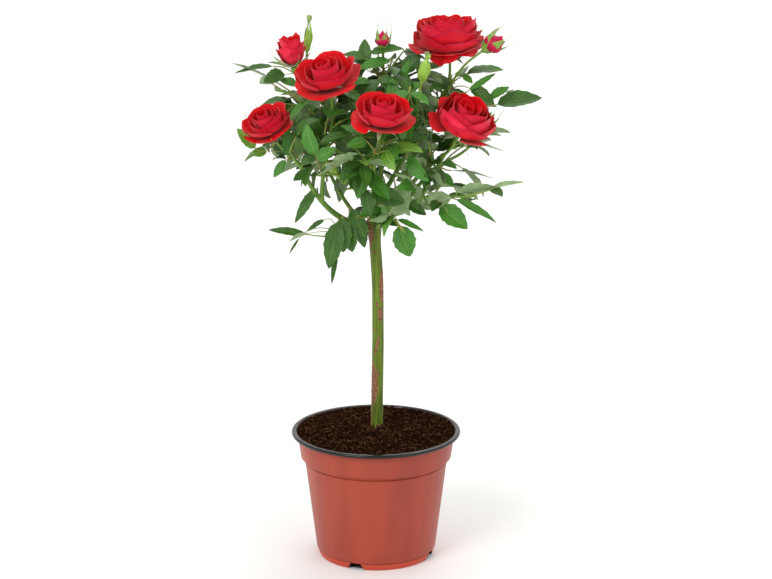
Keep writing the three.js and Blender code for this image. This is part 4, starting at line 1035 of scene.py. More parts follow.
class Pile:
    """Closed shapes of one kind, gathered to be joined into one mesh"""

    def __init__(self):
        self.points, self.maps, self.values, self.faces, self.kinds = [], [], [], [], []
        self.count = 0

    def add(self, points, parts, maps=None, values=None, kinds=None):
        """Copies of one shape: points (copies, n, 3), parts as face arrays over n points, and
        the material of each part. A copy whose volume comes out negative has its faces
        turned over."""
        points = np.asarray(points, float)
        points = points if points.ndim == 3 else points[None]
        copies, n = points.shape[:2]
        volume = np.zeros(copies)
        for part in parts:
            middle = points.mean(axis=1, keepdims=True)
            corners = points - middle
            for i in range(1, part.shape[1] - 1):
                a, b, c = corners[:, part[:, 0]], corners[:, part[:, i]], corners[:, part[:, i + 1]]
                volume += (a * np.cross(b, c)).sum(axis=(1, 2))
        for kind, part in zip(kinds if kinds is not None else [0] * len(parts), parts):
            for sign, turn in ((volume >= 0, 1), (volume < 0, -1)):
                offsets = self.count + np.flatnonzero(sign) * n
                if len(offsets):
                    faces = (part[:, ::turn][None] + offsets[:, None, None]).reshape(-1, part.shape[1])
                    self.faces.append(faces)
                    self.kinds.append(np.full(len(faces), kind))
        self.points.append(points.reshape(-1, 3))
        maps = np.zeros((n, 2)) if maps is None else np.asarray(maps, float)
        self.maps.append(np.broadcast_to(maps, (copies, n, 2)).reshape(-1, 2))
        values = np.zeros(n) if values is None else np.asarray(values, float)
        self.values.append(np.broadcast_to(values, (copies, n)).reshape(-1))
        self.count += copies * n

    def piece(self, name, slot, nodes, materials, sharp_deg=50):
        """The joined mesh as one piece that rides on the root and stands for its CAD nodes"""
        mesh = bpy.data.meshes.new(name)
        loops = np.concatenate([faces.ravel() for faces in self.faces])
        totals = np.concatenate([np.full(len(faces), faces.shape[1]) for faces in self.faces])
        points = np.vstack(self.points) * MM
        mesh.vertices.add(len(points))
        mesh.vertices.foreach_set("co", points.ravel())
        mesh.loops.add(len(loops))
        mesh.loops.foreach_set("vertex_index", loops)
        mesh.polygons.add(len(totals))
        mesh.polygons.foreach_set("loop_start", np.concatenate(([0], np.cumsum(totals)[:-1])))
        mesh.polygons.foreach_set("loop_total", totals)
        mesh.polygons.foreach_set("material_index", np.concatenate(self.kinds))
        layer = mesh.uv_layers.new(name="UVMap")
        layer.data.foreach_set("uv", np.vstack(self.maps)[loops].ravel())
        value = mesh.attributes.new("value", "FLOAT", "POINT")
        value.data.foreach_set("value", np.concatenate(self.values))
        mesh.update(calc_edges=True)
        mesh.polygons.foreach_set("use_smooth", np.ones(len(totals), bool))
        mesh.set_sharp_from_angle(angle=math.radians(sharp_deg))
        for material in materials:
            mesh.materials.append(material)
        piece = bpy.data.objects.new(name, mesh)
        bpy.context.scene.collection.objects.link(piece)
        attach(piece, "root")
        if nodes:
            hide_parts(*nodes)
        print(name, "triangles", int((totals - 2).sum()))
        return piece


def square_frames(lines):
    """Two directions square to each line at each of its points, carried along without twist"""
    ways = unit(np.gradient(lines, axis=1))
    first = np.where(np.abs(ways[:, 0, 2:3]) < 0.9, np.array((0, 0, 1.0)), np.array((0, 1.0, 0)))
    across = np.empty_like(lines)
    side = np.cross(first, ways[:, 0])
    for i in range(lines.shape[1]):
        side = unit(side - ways[:, i] * (side * ways[:, i]).sum(-1, keepdims=True))
        across[:, i] = side
    return across, np.cross(ways, across)


def ring_ways(lines, sides):
    """The ways out from each point of each line: across cos a + up sin a, at even angles a"""
    across, up = square_frames(lines)
    angle = even_angles(sides)[:, None]
    return across[:, :, None] * np.cos(angle) + up[:, :, None] * np.sin(angle)


def tubes(pile, lines, radii, sides, values=None):
    """Round limbs: point(i, a) = line(i) + radius(i, a) * (across(i) * cos a + up(i) * sin a)"""
    lines = np.asarray(lines, float)
    lines = lines if lines.ndim == 3 else lines[None]
    copies, count = lines.shape[:2]
    radii = np.asarray(radii, float)
    if radii.ndim == 1:
        radii = np.broadcast_to(radii, (copies, count))
    if radii.ndim == 2:
        radii = radii[:, :, None]
    points = (lines[:, :, None] + ring_ways(lines, sides) * radii[..., None]).reshape(copies, -1, 3)
    maps = surface_map(np.arange(sides) / sides, np.linspace(0, 1, count))
    pile.add(points, [grid_faces(count, sides)] + end_faces(count, sides), maps, values)


def lathe(profile, sides):
    """A profile of (radius, height) points turned about the axis: point(i, a) is
    (radius(i) cos a, radius(i) sin a, height(i))"""
    radius, height = np.array(profile, float).T[:, :, None]
    angle = even_angles(sides)
    return np.stack(np.broadcast_arrays(radius * np.cos(angle), radius * np.sin(angle), height), -1)


def shells(pile, points, thickness, maps, kinds):
    """Thin closed sheets from grids of points (copies, rows, columns, 3): the front is the
    grid, the back is the grid moved by the thickness against its normal, and a strip joins
    them round the edge"""
    copies, rows, columns = points.shape[:3]
    along = np.gradient(points, axis=1)
    across = np.gradient(points, axis=2)
    normal = unit(np.cross(across, along))
    back = points - normal * np.broadcast_to(thickness, (rows, columns))[..., None]
    count = rows * columns
    both = np.concatenate((points.reshape(copies, count, 3), back.reshape(copies, count, 3)), axis=1)
    front = grid_faces(rows, columns, closed=False)
    number = np.arange(count).reshape(rows, columns)
    edge = np.concatenate((number[0], number[1:, -1], number[-1, -2::-1], number[-2:0:-1, 0]))
    after = np.roll(edge, -1)
    strip = np.stack((after, edge, edge + count, after + count), -1)
    pile.add(both, [front, front[:, ::-1] + count, strip], np.vstack((maps, maps)), None,
             kinds=(kinds[0], kinds[1], kinds[1]))


# Materials

def linear(hex_colour):
    """A colour in sRGB hex as linear values with full cover"""
    parts = np.array([int(hex_colour[i:i + 2], 16) / 255 for i in (1, 3, 5)])
    return (*np.where(parts <= 0.04045, parts / 12.92, ((parts + 0.055) / 1.055) ** 2.4), 1.0)


def feed(tree, node, inputs):
    """Links an output to each socket, by its name or number, or sets it to a value or a colour"""
    for socket, value in inputs.items():
        if isinstance(value, bpy.types.NodeSocket):
            tree.links.new(value, node.inputs[socket])
        else:
            node.inputs[socket].default_value = linear(value) if isinstance(value, str) else value


def add(tree, kind, inputs, stops=(), **settings):
    """Adds a node with its settings and links, and a ramp's stops as (place, hex colour)"""
    node = tree.nodes.new(kind)
    for name, value in settings.items():
        setattr(node, name, value)
    feed(tree, node, inputs)
    if stops:
        elements = node.color_ramp.elements
        while len(elements) < len(stops):
            elements.new(0.5)
        for element, (place, colour) in zip(elements, stops):
            element.position = place
            element.color = linear(colour)
    return node


def spots(tree, size, detail=2, stretch=(1, 1, 1), source="Object"):
    """Spots of a size in metres on the object, or of a share of the surface's map"""
    place = add(tree, "ShaderNodeTexCoord", {}).outputs[source]
    mapped = add(tree, "ShaderNodeMapping", {"Vector": place, "Scale": stretch}).outputs["Vector"]
    return add(tree, "ShaderNodeTexNoise",
               {"Vector": mapped, "Scale": 1 / size, "Detail": detail, "Roughness": 0.5}).outputs["Fac"]


def finish_of(name, roughness, specular):
    """A material that isn't a metal, with the values that are the same all over it"""
    material = bpy.data.materials.new(name)
    material.use_nodes = True
    tree = material.node_tree
    surface = tree.nodes["Principled BSDF"]
    feed(tree, surface, {"Roughness": roughness, "IOR": IOR, "Metallic": 0, "Specular IOR Level": specular})
    return material, tree, surface


def plain(name, colour, roughness, second=None, size=4 * MM, specular=0.5):
    """One colour, or two that are blended in soft spots"""
    material, tree, surface = finish_of(name, roughness, specular)
    if second:
        stops = [(0.35, colour), (0.65, second)]
        colour = add(tree, "ShaderNodeValToRGB", {"Fac": spots(tree, size)}, stops).outputs["Color"]
    feed(tree, surface, {"Base Color": colour})
    return material


def leaf_finish(name, vein, blade, edge, roughness):
    """Leaf: mottled in two greens, with paler ribs that stand out as fine bumps. On its map x
    goes across and y along, each from 0 to 1, and away is |x - 0.5|. The midrib is where away
    is small, and the side veins are the crests of sin(2 pi n (y - slant * away))."""
    material, tree, surface = finish_of(name, roughness, 0.42)
    place = add(tree, "ShaderNodeTexCoord", {}).outputs["UV"]
    parts = add(tree, "ShaderNodeSeparateXYZ", {"Vector": place}).outputs
    out = add(tree, "ShaderNodeMath", {0: parts["X"], 1: 0.5}, operation="SUBTRACT").outputs[0]
    away = add(tree, "ShaderNodeMath", {0: out}, operation="ABSOLUTE").outputs[0]
    slant = add(tree, "ShaderNodeMath", {0: away, 1: VEIN_SLANT}, operation="MULTIPLY").outputs[0]
    along = add(tree, "ShaderNodeMath", {0: parts["Y"], 1: slant}, operation="SUBTRACT").outputs[0]
    turns = 2 * math.pi * LEAF_VEINS
    waves = add(tree, "ShaderNodeMath", {0: along, 1: turns}, operation="MULTIPLY").outputs[0]
    veins = add(tree, "ShaderNodeMath", {0: waves}, operation="SINE").outputs[0]
    rib_range = {"Value": away, "From Max": MIDRIB_HALF, "To Min": 1, "To Max": 0}
    rib = add(tree, "ShaderNodeMapRange", rib_range).outputs[0]
    vein_range = {"Value": veins, "From Min": 0.75, "To Max": 0.35}
    pale = add(tree, "ShaderNodeMapRange", vein_range).outputs[0]
    pale = add(tree, "ShaderNodeMath", {0: pale, 1: rib}, operation="MAXIMUM").outputs[0]
    mottled = add(tree, "ShaderNodeValToRGB", {"Fac": spots(tree, 9 * MM, 3)}, [(0.3, blade), (0.7, edge)])
    colour = {0: pale, 6: mottled.outputs["Color"], 7: vein}
    colour = add(tree, "ShaderNodeMix", colour, data_type="RGBA").outputs[2]
    height = add(tree, "ShaderNodeMath", {0: veins, 1: rib}, operation="SUBTRACT").outputs[0]
    bumps = add(tree, "ShaderNodeBump", {"Height": height, "Distance": 0.12 * MM, "Strength": 0.6})
    feed(tree, surface, {"Base Color": colour, "Normal": bumps.outputs["Normal"]})
    return material


def petal_finish(name, base, middle, rim, roughness=0.55):
    """Petal: from its base to its rim, along the map's second direction, in velvety strokes.
    The cells that make a petal velvety are 0.03 mm wide, so they are drawn as strokes of
    about 1 mm, a twentieth of the petal's width."""
    material, tree, surface = finish_of(name, roughness, 0.25)
    place = add(tree, "ShaderNodeTexCoord", {}).outputs["UV"]
    parts = add(tree, "ShaderNodeSeparateXYZ", {"Vector": place}).outputs
    stroke = spots(tree, 0.05, 4, (1, 0.12, 1), "UV")
    inputs = {0: stroke, 1: 0.16, 2: parts["Y"]}
    along = add(tree, "ShaderNodeMath", inputs, operation="MULTIPLY_ADD").outputs[0]
    # The first stop is painted shade: each petal is darker at its foot, deep in the flower. A rim stop
    # lighter than the middle, as on the inside, is a painted highlight.
    stops = [(0.1, base), (0.65, middle), (0.98, middle), (1, rim)]
    colour = add(tree, "ShaderNodeValToRGB", {"Fac": along}, stops).outputs["Color"]
    bumps = add(tree, "ShaderNodeBump", {"Height": stroke, "Distance": 0.2 * MM, "Strength": 0.5})
    feed(tree, surface, {"Base Color": colour, "Normal": bumps.outputs["Normal"],
                         "Sheen Weight": 0.12, "Sheen Roughness": 0.4})
    return material


def pot_finish(name, colour, second, band, roughness):
    """Moulded plastic in soft upright streaks 20 mm wide, brighter at the thin foot band"""
    material, tree, surface = finish_of(name, roughness, 0.36)
    streak = spots(tree, 20 * MM, 2, (1, 1, 0.04))
    streak = add(tree, "ShaderNodeValToRGB", {"Fac": streak}, [(0.35, colour), (0.65, second)])
    place = add(tree, "ShaderNodeTexCoord", {}).outputs["Object"]
    up = add(tree, "ShaderNodeSeparateXYZ", {"Vector": place}).outputs["Z"]
    low = {"Value": up, "From Min": BAND_TOP_Z * MM, "From Max": BODY_FOOT_Z * MM, "To Min": 1, "To Max": 0}
    low = add(tree, "ShaderNodeMapRange", low).outputs[0]
    colour = {0: low, 6: streak.outputs["Color"], 7: band}
    feed(tree, surface, {"Base Color": add(tree, "ShaderNodeMix", colour, data_type="RGBA").outputs[2]})
    return material


def bark_finish(name):
    """Smooth green bark, and brown corky patches where the surface's value says cork. Real
    streaks are some 0.5 mm wide and real grain finer, so they are drawn 2.2 mm and 1.2 mm
    wide to show."""
    material, tree, surface = finish_of(name, 0.5, 0.35)
    cork = add(tree, "ShaderNodeAttribute", {}, attribute_name="value").outputs["Fac"]
    stops = [(0.28, "#343E08"), (0.48, "#566B10"), (0.74, "#6F8222")]
    green = add(tree, "ShaderNodeValToRGB", {"Fac": spots(tree, 2.2 * MM, 4, (1, 1, 0.07))}, stops)
    grain = spots(tree, 1.2 * MM, 5, (1, 1, 1.6))
    stops = [(0.3, "#2A180E"), (0.46, "#70452A"), (0.7, "#A87A56")]
    brown = add(tree, "ShaderNodeValToRGB", {"Fac": grain}, stops)
    colour = {0: cork, 6: green.outputs["Color"], 7: brown.outputs["Color"]}
    colour = add(tree, "ShaderNodeMix", colour, data_type="RGBA").outputs[2]
    bumps = add(tree, "ShaderNodeBump", {"Height": grain, "Distance": 0.3 * MM, "Strength": 0.5})
    feed(tree, surface, {"Base Color": colour, "Normal": bumps.outputs["Normal"]})
    return material


# Leaves

def leaflet_shape(roots, along, normal, long, wide, droop, fold, twist, phase):
    """Leaflets as thin lenses with toothed edges. The midrib is an arc that droops through
    an angle d, x = L sin(d v) / d and z = -L (1 - cos(d v)) / d, and half the width is
    W v^0.66 (1 - v)^0.96 over its own greatest value, less on every other row. The blade is
    folded up from the midrib, waves at its edge, and twists towards its tip. The last column
    is the underside, which is deepest half way along."""
    v = np.linspace(*LEAFLET_RUN, LEAFLET_ROWS)
    width = v ** LEAFLET_SHOULDER * (1 - v) ** LEAFLET_POINT
    width = width / width.max()
    width = width * np.where(np.arange(LEAFLET_ROWS) % 2 == 0, 1 - TOOTH, 1 + TOOTH_OUT)
    width[0], width[-1] = LEAFLET_ENDS
    across = np.array(LEAFLET_ACROSS)
    under = np.arange(len(across)) == len(across) - 1
    side = np.cross(along, normal)
    turn = droop[:, None] * v
    bend = np.where(np.abs(droop) < LEAST_BEND, LEAST_BEND, droop)[:, None]
    x = long[:, None] * np.sin(bend * v) / bend
    z = -long[:, None] * (1 - np.cos(bend * v)) / bend
    up = normal[:, None] * np.cos(turn)[..., None] + along[:, None] * np.sin(turn)[..., None]
    rib = roots[:, None] + along[:, None] * x[..., None] + normal[:, None] * z[..., None]
    roll = twist[:, None] * v
    out = side[:, None] * np.cos(roll)[..., None] + up * np.sin(roll)[..., None]
    up = up * np.cos(roll)[..., None] - side[:, None] * np.sin(roll)[..., None]
    half = wide[:, None] * width / 2
    wave = EDGE_WAVE * np.sin(v[None] * EDGE_WAVES + phase[:, None])
    lift = (fold[:, None, None] * np.abs(across) + wave[..., None] * across ** 2
            + LEAFLET_ARCH * (np.abs(across) == 0.5)) * half[..., None]
    depth = UNDER_DEPTH * (1 - (2 * v[:, None] - 1) ** 2) + UNDER_LEAST
    lift = lift * ~under - under * depth
    return (rib[:, :, None] + out[:, :, None] * (across * half[..., None])[..., None]
            + up[:, :, None] * lift[..., None])


def leaf_tint(number, leaf):
    """A leaf's tint: 0 deep, 1 mid or 2 young. Young ones are more often high up and outside,
    and deep ones are more often outside than mid ones."""
    if leaf.shown:
        return leaf.shown[1]
    luck = chance(number, TINT_STEP)
    end = leaf.stalk(1.0)
    height = (end[2] - YOUNG_FROM) / YOUNG_RISE
    outer = np.linalg.norm((end - CROWN_MIDDLE) / CROWN_RADII)
    if luck < YOUNG_SHARE * (0.4 + height + outer) / 1.6:
        return 2
    return 0 if luck > DEEP_FROM - DEEP_OUTER * outer else 1


def leaflet_row(number, order, leaflet, leaf):
    """A leaflet as leaflet_shape takes it: its root, its way, its upper side, its length and
    width, and its droop, fold, twist and the start of its waves, each a little by chance"""
    root, up = leaf.place(np.array(0.0), np.array(float(leaflet["y"])))
    way = forward = tangent(leaf.stalk, min(leaflet["y"] / leaf.reach, 1))
    wide = END_WIDTH
    if leaflet["hand"]:
        angle = PAIR_ANGLE + PAIR_SPREAD * (chance(number, PAIR_STEP + order) - 0.5)
        way = leaf.side * leaflet["hand"] * math.sin(angle) + forward * math.cos(angle)
        wide = PAIR_WIDTH
    luck = [chance(number, LEAFLET_STEP + 7 * order + i) for i in range(6)]
    fold, twist, phase = FOLD_LEAST + FOLD_SPREAD * luck[3], TWIST_SPREAD * (luck[4] - 0.5), 6.3 * luck[5]
    if leaf.shown:
        up = unit(leaf.face - way * (leaf.face @ way))
        long = leaflet["size"]
        return root, way, up, long, long * leaf.shown[0], SHOWN_DROOP * luck[2], fold, twist / 3, phase
    hang = TURNED_HANG if chance(number, TURNED_STEP + order) < TURNED_SHARE else HANG
    up = turned(unit(up - way * (up @ way)), way, hang * (chance(number, HANG_STEP + order) - 0.5))
    long = leaflet["size"] * (LENGTH_LEAST + LENGTH_SPREAD * luck[0])
    wide = wide + WIDTH_SPREAD * luck[1]
    droop = DROOP_LEAST + DROOP_SPREAD * luck[2] ** 1.5
    return root, way, up, long, long * wide, droop, fold, twist, phase


def draw_leaves():
    """Leaflets in three tints dealt out leaf by leaf, and their stalks"""
    piles = [Pile() for _ in range(3)]
    stalks = Pile()
    rows = [[] for _ in range(3)]
    lines, sizes = [], []
    for number, leaf in enumerate(LEAVES):
        past = leaf.forward * (max(leaf.end - leaf.reach, 0) + STALK_INTO_LEAFLET)
        lines.append(np.vstack((leaf.stalk(np.linspace(0, 1, len(STALK_RADII) - 1)), leaf.stalk(1.0) + past)))
        sizes.append(min(leaf.scale, STALK_MOST))
        tint = leaf_tint(number, leaf)
        rows[tint] += [leaflet_row(number, order, one, leaf) for order, one in enumerate(leaf.leaflets)]
    columns = len(LEAFLET_ACROSS)
    maps = surface_map((np.array(LEAFLET_ACROSS) + 1) / 2, np.linspace(0, 1, LEAFLET_ROWS))
    faces = grid_faces(LEAFLET_ROWS, columns)
    column = np.arange(len(faces)) % columns
    upper, lower = faces[column < columns - 2], faces[column >= columns - 2]
    ends = np.vstack(end_faces(LEAFLET_ROWS, columns))
    for pile, mine in zip(piles, rows):
        points = leaflet_shape(*(np.array(values) for values in zip(*mine)))
        pile.add(points.reshape(len(mine), -1, 3), [upper, lower, ends], maps, kinds=(0, 1, 1))
    tubes(stalks, np.array(lines), np.array(sizes)[:, None] * np.array(STALK_RADII), 5)
    return piles, stalks


# Flowers

def flower_frame(flower):
    """The foot of a flower, and the way from its own coordinates to the plant's: the
    smallest turn that brings +Z to the way it faces"""
    face, foot = flower_foot(flower)
    axis = np.cross((0, 0, 1), face)
    size = np.linalg.norm(axis)
    if size < 1e-9:
        return foot, np.eye(3)
    axis, angle = axis / size, math.atan2(size, face[2])
    return foot, np.stack([turned(np.eye(3)[i], axis, angle) for i in range(3)], axis=1)


def petals(pile, flower, rings, outer, waves, seed, heart):
    """Petals in rings from the outside in. On a petal u goes across from -1 to 1 and v up from
    0 to 1. The radius is r0 + (rt - r0) sin(pi/2 min(v / b, 1)) + flare F (1 + u^2 / 2) and the
    height is z0 + (zt - z0) v^1.1 - drop F (0.6 + u^2), where F = max(0, (v - 0.5) / 0.5)^1.6.
    The rim is rounded by shortening v at the sides, and its middle is drawn out to a point.
    One side of a petal lies further out than the other, so that each overlaps the next, and
    three waves across, finer and nearer the rim one by one, move it in and out. Lengths are
    shares of half the flower's width. The first few rings are the outer ones, and the rest
    have the material numbered heart outside."""
    foot, turn = flower_frame(flower)
    half = flower["width"] / 2
    rng = np.random.default_rng(seed)
    counts = [ring[0] for ring in rings]
    count = sum(counts)
    table = np.repeat(np.array(rings, float), counts, axis=0)
    _, r0, rt, z0, zt, belly, sweep, flare, drop, rounding, point = table.T[:, :, None, None]
    place_in_ring = np.concatenate([np.arange(n) / n for n in counts])
    ring_number = np.repeat(np.arange(len(rings)), counts)
    bearing = 2 * math.pi * place_in_ring + ring_number * RING_TURN + flower.get("turn", rng.uniform(0, 6))

    def luck(spread):
        return rng.uniform(-spread, spread, count)[:, None, None]

    u = np.linspace(-1, 1, PETAL_COLUMNS)[None, None]
    v0 = np.linspace(0, 1, PETAL_ROWS)[None, :, None]
    tip = np.exp(-(u / PETAL_TIP_WIDTH) ** 2)
    v = v0 * (1 - rounding * np.abs(u) ** 2.5 + point * tip * (1 + luck(0.5)) * v0 ** 2)
    curl = np.clip((v - 0.5) / 0.5, 0, None) ** 1.6
    rt = rt * (1 + luck(0.07))
    zt = zt * (1 + luck(0.08))
    rise = np.sin(np.pi / 2 * np.minimum(v / belly, 1))
    radius = r0 + (rt - r0) * rise + flare * curl * (1 + u * u / 2)
    height = z0 + (zt - z0) * v ** 1.1 - drop * (1 + luck(0.5)) * curl * (0.6 + u * u)
    radius = radius * (1 + SPIRAL * u * np.minimum(v * 1.6, 1))
    wave = sum(share * np.sin(count_across * u + luck(3)) * v ** power
               for share, count_across, power in PETAL_WAVES)
    wave = waves * np.maximum(rt, 0.3) * wave
    radius = radius + wave
    height = height + 0.7 * wave + luck(0.04) * u * v
    opening = 0.5 + 0.5 * np.sin(np.pi / 2 * np.minimum(v / 0.7, 1))
    angle = bearing[:, None, None] + luck(0.16) + sweep * u * opening
    local = np.stack(np.broadcast_arrays(radius * np.cos(angle), radius * np.sin(angle), height), -1)
    place = foot + local * half @ turn.T
    maps = surface_map((u[0, 0] + 1) / 2, v0[0, :, 0])
    thin = np.linspace(PETAL_THICK, PETAL_RIM_THICK, PETAL_ROWS)[:, None] * min(1, half / THIN_UNDER)
    split = sum(counts[:outer])
    shells(pile, place[:split], thin, maps, (1, 0))
    if split < count:
        shells(pile, place[split:], thin, maps, (heart, 0))


def sepal_blades(pile, flower, blades, kind):
    """Sepals: narrow leaves from the hip, each given by its bearing, its root's radius and
    height as shares of half the flower's width, its length and width in millimetres, and how
    far it leans from the flower's axis in radians, at its foot, at its tip and added along the
    thread at its end. It goes out by the sum of sin(lean) and up by the sum of cos(lean) over
    its steps. Across, it bends round the flower's axis and waves at its edges. Kind numbers
    the material of its outside."""
    foot, turn = flower_frame(flower)
    half = flower["width"] / 2
    v = np.linspace(0, 1, SEPAL_ROWS)
    u = np.array((-1, -0.5, 0, 0.5, 1))
    grids = []
    for bearing, r0, z0, long, wide, lean, end_lean, thread_lean in blades:
        angle = lean + (end_lean - lean) * v + thread_lean * smoothstep(v, SEPAL_BODY, 1)
        step = long / (SEPAL_ROWS - 1)
        r = r0 * half + np.concatenate(([0], np.cumsum(np.sin(angle[:-1]) * step)))
        z = z0 * half + np.concatenate(([0], np.cumsum(np.cos(angle[:-1]) * step)))
        body = np.clip(v / SEPAL_BODY * 0.9 + 0.1, 0, 1) ** 0.7
        taper_on = 1 - 0.5 * v
        width = (wide / 2 * np.abs(np.sin(np.pi * body)) ** 0.9 + SEPAL_THREAD) * taper_on
        round_axis = bearing + u[None] * (width / np.maximum(r, 0.9 * width))[:, None]
        waves = np.sin(11 * v + 3 * bearing)[:, None]
        r = r[:, None] + SEPAL_WAVE * u[None] ** 2 * width[:, None] * waves
        grids.append(np.stack((r * np.cos(round_axis), r * np.sin(round_axis),
                               np.broadcast_to(z[:, None], r.shape)), -1))
    place = foot + np.array(grids) @ turn.T
    shells(pile, place, SEPAL_THICK, surface_map((u + 1) / 2, v), (kind, 1))


def hip(pile, flower, profile, kind):
    """The hip under a flower: a small lathe of (radius, height) points in millimetres"""
    foot, turn = flower_frame(flower)
    points = foot + lathe(profile, HIP_SIDES).reshape(-1, 3) @ turn.T
    faces = [grid_faces(len(profile), HIP_SIDES)] + end_faces(len(profile), HIP_SIDES)
    pile.add(points, faces, kinds=(kind, kind, kind))


# Rings of petals from the outside in: how many, the radius at the foot and at the rim, the
# height at the foot and at the rim, where the belly ends, half the sweep in radians, how far
# the rim turns out and down, how rounded its corners are and how pointed its middle is
CUP_ROSE = (
    (5, 0.12, 0.95, 0.00, 0.36, 0.95, 0.80, 0.10, 0.16, 0.28, 0.05),
    (5, 0.12, 0.86, 0.02, 0.76, 0.72, 0.84, 0.10, 0.05, 0.24, 0.03),
    (3, 0.10, 0.62, 0.04, 0.76, 0.55, 1.25, 0.03, 0.03, 0.14, 0.02),
    (3, 0.07, 0.44, 0.08, 0.90, 0.50, 1.40, 0.01, 0.02, 0.06, 0.00),
    (2, 0.04, 0.22, 0.12, 0.95, 0.50, 1.75, 0.00, 0.00, 0.05, 0.00),
    (1, 0.02, 0.10, 0.15, 0.93, 0.50, 2.60, 0.00, 0.00, 0.04, 0.00),
)
WIDE_ROSE = (
    (4, 0.12, 0.68, 0.18, 0.18, 0.95, 0.80, 0.03, 0.26, 0.30, 0.25),
    (5, 0.12, 0.98, 0.01, 0.36, 0.92, 0.78, 0.07, 0.10, 0.22, 0.14),
    (5, 0.12, 0.95, 0.03, 0.60, 0.84, 0.80, 0.06, 0.04, 0.20, 0.14),
    (5, 0.10, 0.87, 0.05, 0.82, 0.76, 0.82, 0.05, 0.02, 0.14, 0.10),
    (5, 0.10, 0.78, 0.08, 0.99, 0.68, 0.84, 0.05, 0.02, 0.12, 0.08),
    (5, 0.08, 0.62, 0.12, 1.07, 0.60, 0.88, 0.04, 0.01, 0.10, 0.05),
    (4, 0.05, 0.45, 0.15, 1.09, 0.55, 1.05, 0.02, 0.00, 0.10, 0.04),
    (3, 0.03, 0.28, 0.20, 1.08, 0.50, 1.25, 0.01, 0.00, 0.10, 0.03),
    (3, 0.02, 0.12, 0.20, 1.05, 0.50, 1.40, 0.00, 0.00, 0.10, 0.00),
)
GLOBE_ROSE = (
    (4, 0.12, 1.00, 0.00, 0.34, 1.00, 0.54, 0.05, 0.04, 0.34, 0.14),
    (5, 0.12, 0.82, 0.02, 0.62, 0.70, 0.84, 0.00, 0.04, 0.30, 0.06),
    (4, 0.12, 0.76, 0.04, 0.82, 0.60, 0.98, -0.05, 0.00, 0.26, 0.04),
    (3, 0.10, 0.60, 0.08, 0.88, 0.52, 1.05, -0.03, 0.00, 0.20, 0.05),
    (3, 0.08, 0.47, 0.12, 0.93, 0.45, 1.05, 0.03, 0.03, 0.14, 0.05),
    (3, 0.05, 0.32, 0.15, 0.94, 0.45, 1.15, 0.03, 0.03, 0.12, 0.05),
    (3, 0.03, 0.16, 0.20, 0.90, 0.45, 1.30, 0.00, 0.00, 0.10, 0.00),
)
HALF_ROSE = (
    (4, 0.20, 0.90, 0.10, 1.30, 0.60, 0.80, 0.14, 0.14, 0.26, 0.12),
    (4, 0.15, 0.86, 0.15, 1.78, 0.60, 0.90, 0.08, 0.02, 0.22, 0.10),
    (4, 0.12, 0.74, 0.20, 2.02, 0.55, 0.95, 0.05, 0.00, 0.18, 0.08),
    (3, 0.08, 0.52, 0.25, 2.10, 0.50, 1.15, 0.02, 0.00, 0.16, 0.05),
    (3, 0.05, 0.30, 0.30, 2.08, 0.50, 1.35, 0.00, 0.00, 0.14, 0.00),
)
BUD_PETALS = (
    (4, 0.30, 1.06, 0.20, 2.25, 0.50, 1.10, -0.86, 0.00, 0.24, 0.00),
    (3, 0.12, 0.66, 0.35, 2.40, 0.50, 1.40, -0.58, 0.00, 0.16, 0.00),
)
CLOSED_PETALS = (
    (3, 0.20, 0.44, 0.20, 1.60, 0.50, 1.30, -0.30, 0.00, 0.30, 0.00),
)
RING_TURN = 1.05
SPIRAL = 0.07
# Each make of flower: its rings of petals, how many of them are outer ones, and how wavy
# their rims are
MAKES = dict(
    open=(CUP_ROSE, 2, 0.026), wide=(WIDE_ROSE, 4, 0.055), globe=(GLOBE_ROSE, 2, 0.03),
    half=(HALF_ROSE, 0, 0.06), bud=(BUD_PETALS, 0, 0.015), closed=(CLOSED_PETALS, 0, 0),
)
OWN_MAKES = dict(
    rose_top_d="wide", rose_front_e="globe", rose_back_i="wide", rose_back_h="globe",
    bud_front_right="closed", bud_left_tall="closed", bud_low="closed",
)

# The sepals of each flower: length and width in millimetres, how far from the axis they lean
# at the foot, at the tip and along the thread at their end in radians, and the radius and
# height that they leave the hip at
SEPALS = dict(
    open=(15, 5, 1.6, 2.4, 0, 0.1, -0.06),
    curled=(27, 8.5, 2, 0, 0, 0.1, -0.06),
    half=(20, 5, 1.4, 0.3, 0.4, 0.2, 0),
    bud=(22, 8.6, 0.6, -0.45, 0.8, 0.42, 0),
    closed=(27, 10.5, 0.55, -1.3, 2.1, 0.44, 0),
    tall=(36, 8, 0.22, -0.6, 0.8, 0.42, 0),
)
SEPAL_COUNT = 5
SEPAL_ROWS = 13
SEPAL_BODY = 0.75
SEPAL_WAVE = 0.16
SEPAL_THREAD = 0.16
SEPAL_THICK = 0.28
SEPAL_SEED = 500
SEPAL_SHAKE = 0.14
OWN_SEPALS = dict(
    rose_front_b="curled", bud_front_right="closed", bud_left_tall="tall", bud_low="closed",
)
YOUNG_CALYXES = ("closed", "tall", "curled")

# Hips as (radius, height) points: a rose's in millimetres, and the upper part of a bud's in
# shares of half its width. A bud's sepals are made for one of this half width.
ROSE_HIP = ((1.2, -5), (2.1, -3.9), (2.7, -2.4), (2.7, -1.2), (2.1, -0.2))
BUD_HIP = ((0.42, 0), (0.5, 0.15), (0.42, 0.34))
HIP_SIDES = 14
BUD_HALF = 6


